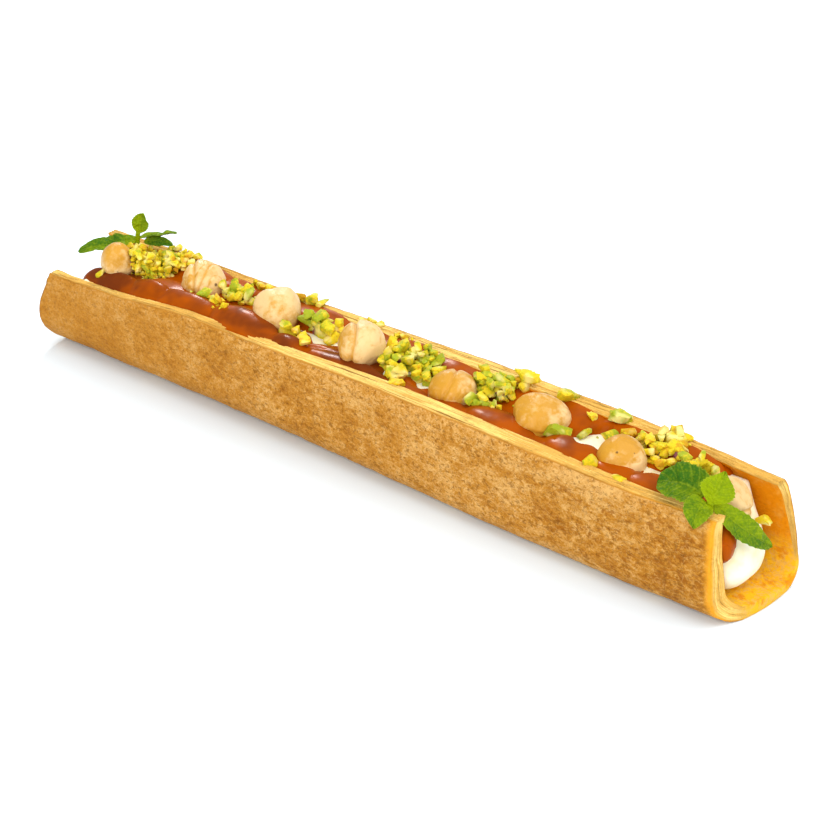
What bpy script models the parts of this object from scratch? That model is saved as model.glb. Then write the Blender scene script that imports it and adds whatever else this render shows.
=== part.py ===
"""Filled puff-pastry trough: a long U-shaped shell of laminated pastry, open along its top and at
both ends, filled with piped cream, with a caramel ribbon along each wall, a row of roasted
hazelnuts and a sprig of mint at each end.

+X runs along the trough to its near end, +Y to its back wall and +Z up. The origin is under the
middle of the trough, on the plane that it stands on. All values are in metres.
"""

from math import pi

import bmesh
import bpy
import numpy as np
from mathutils import Matrix, Vector

COLLECTION = "Pastry_trough"
MM = 0.001
GAP = 0.0003  # clearance between neighbouring solids

# ---- shell ----
LENGTH = 0.2478  # tip to tip, along the base
WIDTH = 0.0338
HEIGHT = 0.0290  # of the walls' level stretches
BACK_RADIUS, BACK_RADIUS_NEAR = 0.0105, 0.0070  # outside, between the base and the back wall
FRONT_RADIUS_FAR, FRONT_RADIUS, FRONT_RADIUS_NEAR = 0.0114, 0.0076, 0.0090  # tightest in between
WALL = 0.0061  # thickness of the walls and floor at their thickest
WALL_END = 0.0034  # the same at the far end
THICKEST, THICK_REACH = 0.030, 0.070  # where along X that is, and how far it reaches
HEEL = 0.0030  # extra thickness low on the front wall at the near end
THIN_LIP = 0.0018  # the torn lip of the near end's floor
PINCH = 0.0015  # each wall's lean inwards at both ends
FAR_DROP = 0.0036  # how much lower the front wall is at the far end
BACK_DROP, BACK_RISE = 0.0006, 0.0019  # the back wall's ends, and its swell in the middle
RIM_ROUND = 0.0003  # how far the cut rims crown
STATIONS = 37
WALL_STEPS, CORNER_STEPS, BASE_STEPS = 3, 4, 2

# ---- filling ----
FILL_LEVEL = 0.0270  # where the cream meets the ribbons
CREAM_CROWN = 0.0010  # rise of the cream along the middle
CREAM_FAR, CREAM_NEAR = -0.1190, 0.1210
CREAM_NOSE = 0.0060  # length of the cream's rounded ends
RIBBON_WIDTH, RIBBON_DEPTH = 0.0062, 0.0120
RIBBON_RISE = 0.0010  # top of the ribbons above FILL_LEVEL
RIBBON_END_DROP = 0.0040  # how much the front ribbon sinks at the near end
RIBBON_NOSE = 0.0050
NOSE_END = 0.4  # size of a rounded end's last section
FRONT_RIBBON_SPAN = (-0.1080, 0.1165)
BACK_RIBBON_SPAN = (-0.1000, 0.1040)
CREAM_STATIONS, RIBBON_STATIONS, RIBBON_SIDES = 23, 25, 12

# Each hazelnut: centre x, y, z, radius, the way its tip points, and how long it is for its width
HAZELNUTS = (
    ((-0.0998, -0.0040, 0.0306), 0.0052, (0.3, -0.2, 1.0), 1.00),
    ((-0.0702, 0.0027, 0.0288), 0.0067, (-0.5, 0.3, 0.7), 1.04),
    ((-0.0385, 0.0003, 0.0314), 0.0066, (0.5, -0.6, -0.7), 1.06),
    ((-0.0047, -0.0024, 0.0321), 0.0066, (0.2, 0.1, 1.0), 1.04),
    ((0.0263, -0.0014, 0.0274), 0.0067, (1.0, 0.2, 0.2), 1.05),
    ((0.0537, 0.0001, 0.0284), 0.0070, (1.0, 0.5, 0.3), 1.08),
    ((0.0817, -0.0024, 0.0274), 0.0063, (-0.4, 0.2, 1.0), 1.00),
    ((0.1115, -0.0004, 0.0257), 0.0063, (-0.3, 0.3, 1.0), 1.02),
)
NUT_SEGMENTS, NUT_RINGS = 14, 8

# Each leaf, in millimetres: where it starts, the point that its midrib bends towards, its tip, its
# half width, and the side that its upper face looks to.
LEAF_THICKNESS = 0.0007
NEAR_LEAVES = (
    ((112.6, -11.0, 31.4), (106.0, -10.5, 35.0), (98.0, -11.2, 32.5), 4.8, (0.2, -0.5, 0.9)),
    ((113.2, -11.4, 31.4), (113.9, -9.5, 35.5), (113.7, -6.5, 38.6), 4.1, (0.5, -0.9, 0.3)),
    ((112.6, -11.8, 31.4), (111.8, -15.6, 33.4), (112.0, -16.6, 26.8), 3.6, (0.1, -0.6, 0.8)),
    ((113.4, -10.4, 31.3), (120.6, -7.0, 24.4), (123.4, 2.0, 16.8), 2.7, (0.7, -0.4, 0.6)),
)
FAR_LEAVES = (
    ((-102.4, 6.4, 33.0), (-110.5, 1.5, 32.0), (-117.4, -4.3, 28.5), 2.8, (0.1, -0.5, 0.8)),
    ((-101.4, 6.5, 35.5), (-100.2, 6.6, 40.0), (-98.5, 6.0, 43.0), 2.6, (0.5, -0.8, 0.2)),
    ((-101.8, 6.8, 33.8), (-96.5, 9.8, 35.6), (-90.3, 11.8, 36.9), 1.9, (0.1, 0.0, 1.0)),
    ((-102.0, 6.6, 32.2), (-97.5, 9.0, 34.0), (-91.9, 10.5, 32.4), 2.2, (0.4, -0.6, 0.8)),
)
# Each sprig: foot and head of its stem, and its leaves
STEM_RADIUS = 0.0010
SPRIGS = {
    "mint_sprig_near": ((0.1129, -0.0112, 0.0303), (0.1130, -0.0116, 0.0320), NEAR_LEAVES),
    "mint_sprig_far": ((-0.1030, 0.0065, 0.0288), (-0.1016, 0.0065, 0.0362), FAR_LEAVES),
}
LEAF_STEPS, LEAF_HALF_STEPS = 7, 2

COLOURS = {
    "pastry": ((0.72, 0.40, 0.12), 0.65),
    "cream": ((0.93, 0.87, 0.70), 0.45),
    "caramel": ((0.45, 0.12, 0.02), 0.20),
    "hazelnut": ((0.82, 0.58, 0.30), 0.50),
    "mint": ((0.10, 0.32, 0.04), 0.45),
}


def smooth(a, b, x):
    """0 at a, 1 at b, with a level start and end."""
    t = np.clip((x - a) / (b - a), 0.0, 1.0)
    return t * t * (3.0 - 2.0 * t)


def bump(u, centre, width):
    return np.exp(-(((u - centre) / width) ** 2))


def near_end(u):
    """X of the near end along the U. u is 0 at the front wall's top and 1 at the back wall's."""
    sweep = (0.0072 - 0.0023 * u) * (1.0 - np.sin(pi * u**1.8))
    return LENGTH / 2 - sweep - 0.0006 * bump(u, 0.31, 0.07) + 0.0016 * bump(u, 0.50, 0.12)


def far_end(u):
    setback = 0.0066 * bump(u, 0.0, 0.15) + 0.0025 * bump(u, 0.38, 0.08) + 0.0035 * bump(u, 1.0, 0.15)
    return -LENGTH / 2 + setback


def wall_tops(x):
    """Heights of the front and the back wall at x."""
    front = HEIGHT - FAR_DROP * smooth(-0.055, -0.105, x) + 0.0008 * bump(x, 0.012, 0.030)
    back = HEIGHT - BACK_DROP + BACK_RISE * bump(x, 0.042, 0.055)
    return front, back


def wall_thickness(x):
    return WALL_END + (WALL - WALL_END) * bump(x, THICKEST, THICK_REACH)


def lean(x, z):
    """How far a wall leans inwards at height z."""
    return PINCH * smooth(0.085, 0.120, np.abs(x)) * (z / HEIGHT) ** 2


def corner_radii(x):
    """Outside radii of the front and the back corner at x."""
    front = FRONT_RADIUS_FAR + (FRONT_RADIUS - FRONT_RADIUS_FAR) * smooth(-0.030, 0.060, x)
    front += (FRONT_RADIUS_NEAR - FRONT_RADIUS) * smooth(0.095, 0.124, x)
    return front, BACK_RADIUS + (BACK_RADIUS_NEAR - BACK_RADIUS) * smooth(0.070, 0.124, x)


def quarter(radius):
    """From a wall's top down and round to the base, for a wall whose outside is at 0 and leads to
    a corner of this radius: distance inwards, height, and the inward normal's two parts."""
    radius = np.asarray(radius)[..., None]
    down = np.arange(WALL_STEPS) / WALL_STEPS
    turn = np.linspace(0.0, pi / 2, CORNER_STEPS + 1)
    inwards = np.concatenate([0 * radius * down, radius * (1 - np.cos(turn))], axis=-1)
    height = np.concatenate([HEIGHT - (HEIGHT - radius) * down, radius * (1 - np.sin(turn))], axis=-1)
    return inwards, height, np.append(0 * down + 1, np.cos(turn)), np.append(0 * down, np.sin(turn))


def outer_path(x):
    """The U's outline at each x, from the front wall's top to the back wall's, for walls of height
    HEIGHT: y and z as stations x points, and the inward normal's y and z."""
    front_radius, back_radius = corner_radii(x)
    front_in, front_z, ny, nz = quarter(front_radius)
    back_in, back_z, _, _ = quarter(back_radius)
    front_y, back_y = front_in - WIDTH / 2, WIDTH / 2 - back_in[:, ::-1]
    share = np.arange(1, BASE_STEPS) / BASE_STEPS
    base_y = front_y[:, -1:] * (1 - share) + back_y[:, :1] * share
    y = np.concatenate([front_y, base_y, back_y], axis=1)
    z = np.concatenate([front_z, 0 * base_y, back_z[:, ::-1]], axis=1)
    return y, z, np.concatenate([ny, 0 * share, -ny[::-1]]), np.concatenate([nz, 0 * share + 1, nz[::-1]])


def shell_sections():
    """The shell's outer and inner points, each as stations x path points x 3."""
    t = np.linspace(-1.0, 1.0, STATIONS)[:, None]
    y, z, ny, nz = outer_path(t[:, 0] * LENGTH / 2)
    run = np.cumsum(np.hypot(np.diff(y[STATIONS // 2]), np.diff(z[STATIONS // 2])))
    u = np.append(0.0, run / run[-1])
    x = far_end(u) * (1 - t) / 2 + near_end(u) * (1 + t) / 2
    near = smooth(0.108, LENGTH / 2, x)
    lip = near * bump(u, 0.70, 0.18)
    thickness = (wall_thickness(x) + HEEL * near * bump(u, 0.22, 0.16)) * (1 - lip) + THIN_LIP * lip
    front, back = wall_tops(x)
    stretch = 1 + (np.where(y < 0, front, back) / HEIGHT - 1) * smooth(BACK_RADIUS, HEIGHT, z)
    outer = np.stack([x, y - np.sign(y) * lean(x, z), z * stretch], axis=-1)
    inner = outer + np.stack([0 * x, ny * thickness, nz * thickness], axis=-1)
    return outer, inner


def cavity(x):
    """Half of the cavity's clear width, and the floor's height, at x."""
    thickness = wall_thickness(x)
    return WIDTH / 2 - thickness - lean(x, FILL_LEVEL), thickness


def new_object(name, mesh, slot, collection):
    obj = bpy.data.objects.new(name, mesh)
    collection.objects.link(obj)
    if slot:
        mesh.materials.append(material(slot))
        mesh.shade_smooth()
        mesh.set_sharp_from_angle(angle=pi / 4)
    return obj


def material(slot):
    found = bpy.data.materials.get(slot)
    if found:
        return found
    made = bpy.data.materials.new(slot)
    made.use_nodes = True
    shader = made.node_tree.nodes["Principled BSDF"]
    colour, roughness = COLOURS[slot]
    shader.inputs["Base Color"].default_value = (*colour, 1.0)
    shader.inputs["Roughness"].default_value = roughness
    shader.inputs["Metallic"].default_value = 0.0
    return made


def mesh_of(name, points, faces):
    mesh = bpy.data.meshes.new(name)
    mesh.from_pydata([tuple(p) for p in points], [], faces)
    mesh.validate()
    return mesh


def tube_faces(stations, count):
    """Quads round and along a tube of closed rings, facing out for rings that turn from -Y over
    the bottom to +Y as X grows."""
    return [
        (s * count + k, s * count + (k + 1) % count, (s + 1) * count + (k + 1) % count, (s + 1) * count + k)
        for s in range(stations - 1)
        for k in range(count)
    ]


def loft(name, rings):
    """A closed solid through rings, with a fan of faces on each end."""
    stations, count = rings.shape[:2]
    points = np.concatenate([rings.reshape(-1, 3), [rings[0].mean(axis=0), rings[-1].mean(axis=0)]])
    first, last = stations * count, stations * count + 1
    base = (stations - 1) * count
    caps = [((k + 1) % count, k, first) for k in range(count)]
    caps += [(base + k, base + (k + 1) % count, last) for k in range(count)]
    return mesh_of(name, points, tube_faces(stations, count) + caps)


def shell_mesh():
    outer, inner = shell_sections()
    crown = np.array([0.0, 0.0, RIM_ROUND])
    back_rim = (outer[:, -1:] + inner[:, -1:]) / 2 + crown
    front_rim = (outer[:, :1] + inner[:, :1]) / 2 + crown
    rings = np.concatenate([outer, back_rim, inner[:, ::-1], front_rim], axis=1)
    stations, count = rings.shape[:2]
    n = outer.shape[1]

    def end_faces(base, near):
        pair = [(base + k, base + k + 1, base + 2 * n - 1 - k, base + 2 * n - k) for k in range(n - 1)]
        rims = [(base + n - 1, base + n, base + n + 1), (base + 2 * n, base + 2 * n + 1, base)]
        return pair + rims if near else [face[::-1] for face in pair + rims]

    faces = tube_faces(stations, count) + end_faces(0, False) + end_faces((stations - 1) * count, True)
    return mesh_of("pastry_shell", rings.reshape(-1, 3), faces)


def nose(x, start, end, length):
    """1 along the middle, falling to NOSE_END in a quarter ellipse over length at each end."""
    inside = np.minimum(x - start, end - x)
    short = np.clip(1 - inside / length, 0.0, 1.0)
    return NOSE_END + (1 - NOSE_END) * np.sqrt(1 - short**2)


def cream_mesh():
    """The cream as a loft of the cavity's section: half an ellipse squared off at the bottom, and a
    low crown on top."""
    rings = []
    steps = np.linspace(0.0, pi, 11)
    across = np.linspace(1.0, -1.0, 5)[1:-1]
    for x in np.linspace(CREAM_FAR, CREAM_NEAR, CREAM_STATIONS):
        half, floor = cavity(x)
        half, floor = half - 2 * GAP, floor + 2 * GAP
        depth = FILL_LEVEL - floor
        y = -half * np.sign(np.cos(steps)) * np.abs(np.cos(steps)) ** 0.42
        z = FILL_LEVEL - depth * np.sin(steps) ** 0.55
        crown = FILL_LEVEL + CREAM_CROWN * np.cos(pi / 2 * across)
        y, z = np.concatenate([y, half * across]), np.concatenate([z, crown])
        scale = nose(x, CREAM_FAR, CREAM_NEAR, CREAM_NOSE)
        middle = floor + depth * 0.4
        rings.append(np.column_stack([np.full_like(y, x), y * scale, middle + (z - middle) * scale]))
    return loft("cream", np.array(rings))


def ribbon_mesh(name, side, span, grow=0.0):
    """A caramel ribbon along one wall: a superellipse, deeper than wide, whose width swells and
    shrinks along the trough. side is -1 at the front wall and +1 at the back."""
    rings = []
    angles = np.linspace(-pi, pi, RIBBON_SIDES, endpoint=False)
    for x in np.linspace(*span, RIBBON_STATIONS):
        half, _ = cavity(x)
        scale = nose(x, *span, RIBBON_NOSE)
        width = (RIBBON_WIDTH / 2) * (1 + 0.08 * np.sin(x / 0.006 + side)) * scale
        depth = RIBBON_DEPTH / 2 * scale
        middle_y = side * (half - 2 * GAP - width)
        middle_z = FILL_LEVEL + RIBBON_RISE - RIBBON_DEPTH / 2 - RIBBON_END_DROP * smooth(0.106, 0.1165, x)
        c, s = np.cos(angles), np.sin(angles)
        y = middle_y + (width + grow) * np.sign(c) * np.abs(c) ** 0.7
        z = middle_z + (depth + grow) * np.sign(s) * np.abs(s) ** 0.7
        rings.append(np.column_stack([np.full_like(y, x), y, z]))
    rings = np.array(rings)
    rings[0, :, 0] -= grow
    rings[-1, :, 0] += grow
    return loft(name, rings)


def hazelnut_mesh(name, spec, grow=0.0):
    """A sphere drawn out to a blunt tip and flattened at its foot."""
    centre, radius, direction, length = spec
    mesh = bpy.data.meshes.new(name)
    ball = bmesh.new()
    bmesh.ops.create_uvsphere(ball, u_segments=NUT_SEGMENTS, v_segments=NUT_RINGS, radius=1.0)
    ball.to_mesh(mesh)
    ball.free()
    points = np.empty(len(mesh.vertices) * 3)
    mesh.vertices.foreach_get("co", points)
    points = points.reshape(-1, 3)
    up = points[:, 2]
    tip, foot = 0.10 * smooth(0.55, 1.0, up), 0.12 * smooth(0.70, 1.0, -up)
    points *= (1 + tip - foot)[:, None] * (radius + grow)
    points[:, 2] *= length
    turn = np.array(Vector((0, 0, 1)).rotation_difference(Vector(direction)).to_matrix())
    mesh.vertices.foreach_set("co", (points @ turn.T + centre).ravel())
    return mesh


def leaf_mesh(name, start, bend, tip, half_width, facing):
    """A leaf's upper face: a midrib on a quadratic Bezier curve from start to tip, and blades whose
    half width is a stretched sine, folded up a little either side of it."""
    s = np.linspace(0.0, 1.0, LEAF_STEPS + 1)[:, None]
    start, bend, tip = (np.array(point) * MM for point in (start, bend, tip))
    rib = (1 - s) ** 2 * start + 2 * s * (1 - s) * bend + s**2 * tip
    along = np.gradient(rib, axis=0)
    along /= np.linalg.norm(along, axis=1, keepdims=True)
    across = np.cross(along, np.array(facing))
    across /= np.linalg.norm(across, axis=1, keepdims=True)
    normal = np.cross(across, along)
    half = half_width * MM * (0.12 + 0.88 * np.sin(pi * s**0.85) ** 0.8)
    w = np.linspace(-1.0, 1.0, 2 * LEAF_HALF_STEPS + 1)
    grid = rib[:, None] + across[:, None] * (half * w)[:, :, None]
    grid += normal[:, None] * (0.18 * half * w**2)[:, :, None]
    n = len(w)
    faces = [
        (i * n + k, i * n + k + 1, (i + 1) * n + k + 1, (i + 1) * n + k)
        for i in range(LEAF_STEPS)
        for k in range(n - 1)
    ]
    return mesh_of(name, grid.reshape(-1, 3), faces)


def sprig(name, spec, collection, helpers):
    """A short stem with its leaves joined on by a Boolean union."""
    foot, head, leaves = Vector(spec[0]), Vector(spec[1]), spec[2]
    mesh = bpy.data.meshes.new(name)
    stem = bmesh.new()
    bmesh.ops.create_cone(
        stem, cap_ends=True, segments=10, radius1=STEM_RADIUS, radius2=STEM_RADIUS, depth=(head - foot).length
    )
    turn = Vector((0, 0, 1)).rotation_difference(head - foot).to_matrix().to_4x4()
    stem.transform(Matrix.Translation((foot + head) / 2) @ turn)
    stem.to_mesh(mesh)
    stem.free()
    obj = new_object(name, mesh, "mint", collection)
    for number, leaf in enumerate(leaves, 1):
        blade = new_object(f"{name}_blade_{number}", leaf_mesh(name, *leaf), None, helpers)
        thick = blade.modifiers.new("Thickness", "SOLIDIFY")
        thick.thickness = LEAF_THICKNESS
        thick.offset = 0.0
        as_helper(blade)
        join = obj.modifiers.new(f"Join {number}", "BOOLEAN")
        join.operation = "UNION"
        join.object = blade
    return obj


def as_helper(obj):
    obj.hide_render = True
    obj.display_type = "WIRE"


def cut(obj, cutters):
    modifier = obj.modifiers.new(f"Clear {cutters.name}", "BOOLEAN")
    modifier.operation = "DIFFERENCE"
    modifier.operand_type = "COLLECTION"
    modifier.collection = cutters


def collection(name, parent):
    made = bpy.data.collections.new(name)
    parent.children.link(made)
    return made


def main():
    for obj in list(bpy.data.objects):
        bpy.data.objects.remove(obj, do_unlink=True)
    scene = bpy.context.scene.collection
    parts = collection(COLLECTION, scene)
    helpers = collection("Cutters", scene)
    topping_room = collection("Topping_room", helpers)
    nut_room = collection("Nut_room", topping_room)

    new_object("pastry_shell", shell_mesh(), "pastry", parts)
    cream = new_object("cream", cream_mesh(), "cream", parts)
    cut(cream, topping_room)
    for name, side, span in (
        ("caramel_front", -1, FRONT_RIBBON_SPAN),
        ("caramel_back", 1, BACK_RIBBON_SPAN),
    ):
        cut(new_object(name, ribbon_mesh(name, side, span), "caramel", parts), nut_room)
        as_helper(new_object(f"{name}_room", ribbon_mesh(name, side, span, GAP), None, topping_room))
    for number, spec in enumerate(HAZELNUTS, 1):
        name = f"hazelnut_{number}"
        new_object(name, hazelnut_mesh(name, spec), "hazelnut", parts)
        as_helper(new_object(f"{name}_room", hazelnut_mesh(name, spec, GAP), None, nut_room))
    for name, spec in SPRIGS.items():
        sprig(name, spec, parts, helpers)


main()
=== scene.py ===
"""A filled puff-pastry trough: crisp layered crust, cream, caramel, hazelnuts, pistachios and mint.

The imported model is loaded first, and each piece is then made in its place. Shapes are worked out in
millimetres with numpy, each as a function of two parameters on a grid. +X runs along the trough to
its near end, +Y to its back wall and +Z up.
"""

from math import cos, pi, radians, sin

import bpy
import numpy as np
from bpy.props import FloatProperty, FloatVectorProperty, IntProperty, PointerProperty
from bpy.types import Operator, Panel, PropertyGroup
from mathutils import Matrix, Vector


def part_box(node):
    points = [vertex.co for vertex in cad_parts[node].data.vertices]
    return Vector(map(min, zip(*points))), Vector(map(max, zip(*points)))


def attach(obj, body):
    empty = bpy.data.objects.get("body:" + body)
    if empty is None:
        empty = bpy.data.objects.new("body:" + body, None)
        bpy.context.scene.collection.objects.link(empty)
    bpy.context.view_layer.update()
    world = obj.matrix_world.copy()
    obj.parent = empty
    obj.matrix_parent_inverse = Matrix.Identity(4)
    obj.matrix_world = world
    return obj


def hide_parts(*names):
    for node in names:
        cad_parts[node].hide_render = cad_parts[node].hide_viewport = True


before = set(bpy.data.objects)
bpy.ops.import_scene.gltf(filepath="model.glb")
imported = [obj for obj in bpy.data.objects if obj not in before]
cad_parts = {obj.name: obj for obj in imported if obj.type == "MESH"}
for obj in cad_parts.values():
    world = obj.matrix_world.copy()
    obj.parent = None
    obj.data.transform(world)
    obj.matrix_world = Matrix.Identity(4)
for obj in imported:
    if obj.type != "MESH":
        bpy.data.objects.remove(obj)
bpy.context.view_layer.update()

bl_info = {
    "name": "Filled pastry trough",
    "version": (1, 0, 0),
    "blender": (4, 5, 0),
    "location": "3D View > Sidebar > Pastry",
    "description": "Makes a filled and decorated puff-pastry trough, piece by piece",
    "category": "Object",
}

MM = 0.001

# ---- shell outline, in millimetres ----
BACK_RADIUS, BACK_RADIUS_NEAR = 10.5, 7.0
FRONT_RADIUS_FAR, FRONT_RADIUS, FRONT_RADIUS_NEAR = 11.4, 7.6, 9.0
THICKEST, THICK_REACH = 30.0, 70.0
HEEL, THIN_LIP, PINCH = 3.0, 1.8, 1.5
FAR_DROP, FAR_NIP, FRONT_RISE, BACK_DROP, BACK_RISE = 3.6, 1.3, 0.8, 0.6, 1.9
STATIONS = 450
WALL_ROWS, CORNER_ROWS, BASE_ROWS, RIM_ROWS = 22, 9, 8, 26
RIM_SHARES = np.arange(1, RIM_ROWS + 1) / (RIM_ROWS + 1)
END_COURSE = 400  # where the course along the end faces starts, past that of the rims

# ---- filling, in millimetres ----
FILL_LEVEL = 27.0
SINK, FAR_SINK = 0.9, 2.2
CREAM_SPAN = (-114.0, 121.0)
CREAM_GRID = (260, 84)
CARAMEL_GRID = (560, 44)
CARAMEL_REACH, TONGUE_REACH = 14.0, 5.8  # across the filling, and at the tongue by the near end
FILM_REACH = 6.5

# Where the caramel's inner edge draws back from the cream: x, depth and half length
FRONT_GAPS = (
    (-110.0, 8.0, 7.0), (-88.5, 4.6, 3.2), (-20.0, 3.9, 4.0), (6.5, 6.4, 4.0), (17.5, 4.6, 3.5),
    (70.0, 5.2, 4.5), (90.0, 6.0, 2.5),
)
BACK_GAPS = (
    (-107.0, 9.0, 8.0), (-20.0, 3.2, 4.0), (7.0, 4.0, 5.0), (70.0, 8.6, 4.5), (105.0, 5.0, 4.0),
)
# Where the front caramel is painted darker: x, half length and how much. Most runs are thick, brown
# caramel; the run at x 2 is partly painted shadow of hazelnut 4 beside it
BROWN_AND_SHADOW_RUNS = ((-97.0, 13.0, 0.6), (-27.0, 7.0, 0.4), (2.0, 18.0, 0.5), (117.0, 7.0, 0.35))

# Each lobe of caramel: middle along the trough and its distance from the wall, half length, half
# width, rise, and how far it slants across
FRONT_LOBES = (
    (-97.0, 3.4, 13.0, 4.6, 2.3, 0.0),
    (-81.5, 3.8, 8.5, 4.8, 2.5, -0.05),
    (-79.0, 8.8, 13.0, 5.4, 0.9, 0.0),
    (-92.0, 8.0, 9.0, 3.6, 0.7, 0.0),
    (-67.0, 3.8, 13.0, 5.2, 2.1, 0.06),
    (-60.0, 8.6, 9.0, 3.0, 0.8, 0.0),
    (-43.5, 3.6, 13.5, 6.8, 3.1, -0.1),
    (-50.0, 8.0, 9.0, 3.4, 1.0, 0.0),
    (-26.5, 2.4, 7.0, 4.0, 2.2, 0.0),
    (-7.0, 2.4, 17.5, 3.9, 1.5, 0.02),
    (-14.0, 6.0, 8.0, 2.6, 0.6, 0.0),
    (16.0, 2.0, 7.5, 3.2, 1.2, 0.0),
    (31.0, 2.2, 8.5, 3.5, 1.2, 0.0),
    (46.5, 3.6, 12.0, 5.8, 2.1, -0.08),
    (60.0, 2.2, 7.0, 3.2, 1.2, 0.0),
    (70.0, 4.2, 10.5, 6.0, 2.2, -0.08),
    (83.0, 3.6, 7.5, 4.6, 1.7, 0.0),
    (96.0, 4.2, 10.5, 5.2, 1.8, 0.0),
    (110.0, 3.6, 9.0, 4.2, 1.1, 0.0),
)
BACK_LOBES = (
    (-92.0, 4.0, 12.0, 5.0, 1.1, 0.0),
    (-76.0, 4.2, 12.5, 6.2, 2.0, 0.06),
    (-61.0, 3.8, 10.5, 5.0, 1.5, 0.0),
    (-46.0, 3.4, 12.5, 5.0, 1.8, 0.0),
    (-30.0, 4.0, 13.5, 6.4, 2.0, 0.06),
    (-11.0, 3.4, 12.0, 5.0, 1.5, 0.0),
    (3.0, 3.8, 12.5, 6.2, 2.0, 0.0),
    (23.0, 3.4, 12.5, 5.6, 1.7, 0.05),
    (40.0, 3.0, 10.5, 4.6, 1.3, 0.0),
    (57.0, 3.8, 13.5, 6.2, 2.0, 0.0),
    (75.0, 3.2, 11.5, 5.0, 1.4, 0.0),
    (92.0, 3.6, 13.5, 5.4, 1.6, 0.0),
)
FRONT_BAND = (-111.0, 119.0)
BACK_BAND = (-104.0, 106.0)

# Each hazelnut: radius, the way its tip points, its length for its width, how drawn out its tip is,
# how strong its toast is, the middle of the toast, how crazed it is, and its grooves. Each groove:
# normal, offset, depth, width.
HAZELNUTS = (
    (5.3, (0.3, -0.2, 1.0), 0.98, 0.2, 0.75, (0.35, -0.27, 0.87), 0.4, ()),
    (
        6.7, (-0.5, 0.3, 0.7), 1.04, 0.1, 0.25, (0.1, -0.6, 0.8), 0.7,
        (((0.8, 0.6, -0.05), -0.38, 0.1, 0.1), ((0.85, 0.4, -0.3), 0.02, 0.06, 0.07)),
    ),
    (6.6, (0.55, -0.45, -0.75), 1.06, 0.24, 0.4, (0.6, -0.6, -0.2), 0.25, ()),
    (
        6.6, (0.2, 0.1, 1.0), 1.04, 0.08, 0.6, (-0.8, -0.6, -0.1), 0.45,
        (((0.77, 0.62, -0.12), -0.36, 0.13, 0.09),),
    ),
    (
        6.7, (1.0, 0.2, 0.2), 1.05, 0.12, 0.75, (-0.1, -0.5, 0.9), 0.45,
        (((0.83, 0.36, -0.43), -0.3, 0.09, 0.06),),
    ),
    (
        6.8, (1.0, 0.62, 0.1), 1.0, 0.32, 0.85, (-0.2, -0.7, 0.6), 0.45,
        (((-0.2, 0.35, 0.92), -0.42, 0.08, 0.06),),
    ),
    (6.3, (-0.4, 0.2, 1.0), 0.98, 0.08, 1.0, (-0.5, -0.4, 0.8), 0.8, ()),
    (
        6.3, (-0.3, 0.3, 1.0), 1.02, 0.1, 0.2, (0.3, 0.1, 0.9), 0.2,
        (((-0.3, 0.3, 0.9), -0.25, 0.08, 0.08),),
    ),
)
# Small dark marks on the kernels: which one, direction from its middle, and size for its radius
NUT_MARKS = (
    (2, (0.9, -0.16, 0.39), 0.11),
    (2, (0.3, -0.84, 0.05), 0.08),
    (7, (0.16, -0.62, 0.77), 0.08),
    (7, (0.7, -0.15, 0.7), 0.05),
    (1, (0.6, -0.6, -0.2), 0.07),
)
NUT_RINGS, NUT_SEGMENTS = 70, 96
LEAF_GRID, STEM_GRID = (60, 72), (14, 24)

# Each leaf: start, the point its midrib bends towards, tip, half width, the way its face looks, how
# dark it is, how pointed and how rumpled
LEAVES = {
    "mint_sprig_near": (
        (
            (110.6, -10.6, 32.2), (105.0, -10.3, 35.4), (98.0, -11.2, 32.0),
            5.4, (0.2, -0.5, 0.9), 0.7, 0.42, 0.7,
        ),
        (
            (113.2, -11.4, 31.4), (113.9, -9.5, 35.5), (113.7, -6.5, 38.6),
            4.4, (0.5, -0.9, 0.3), 0.22, 1.35, 0.25,
        ),
        (
            (112.6, -11.8, 31.4), (111.8, -15.6, 33.4), (112.0, -16.6, 26.8),
            3.9, (0.1, -0.6, 0.8), 0.45, 0.85, 0.2,
        ),
        (
            (113.4, -10.4, 31.3), (120.6, -7.0, 24.4), (123.4, 2.0, 16.8),
            3.3, (0.7, -0.4, 0.6), 0.5, 0.7, 0.4,
        ),
    ),
    "mint_sprig_far": (
        (
            (-102.4, 6.4, 33.0), (-110.5, 1.5, 32.0), (-117.4, -4.3, 28.5),
            2.6, (0.1, -0.5, 0.8), 0.62, 0.42, 1.0,
        ),
        (
            (-101.4, 6.5, 35.5), (-100.2, 6.6, 40.0), (-98.5, 6.0, 43.0),
            2.7, (0.5, -0.8, 0.2), 0.35, 0.9, 0.6,
        ),
        (
            (-101.8, 6.8, 33.8), (-96.5, 9.8, 35.6), (-90.3, 11.8, 36.9),
            1.7, (0.1, 0.0, 1.0), 0.55, 0.6, 0.6,
        ),
        (
            (-100.2, 7.4, 32.6), (-96.5, 9.2, 34.2), (-91.4, 10.9, 32.8),
            1.7, (0.4, -0.6, 0.8), 0.75, 0.6, 0.7,
        ),
    ),
}
STEMS = {
    "mint_sprig_near": ((112.9, -11.2, 30.3), (113.0, -11.6, 32.4)),
    "mint_sprig_far": ((-103.0, 6.5, 28.8), (-101.6, 6.5, 36.4)),
}

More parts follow.
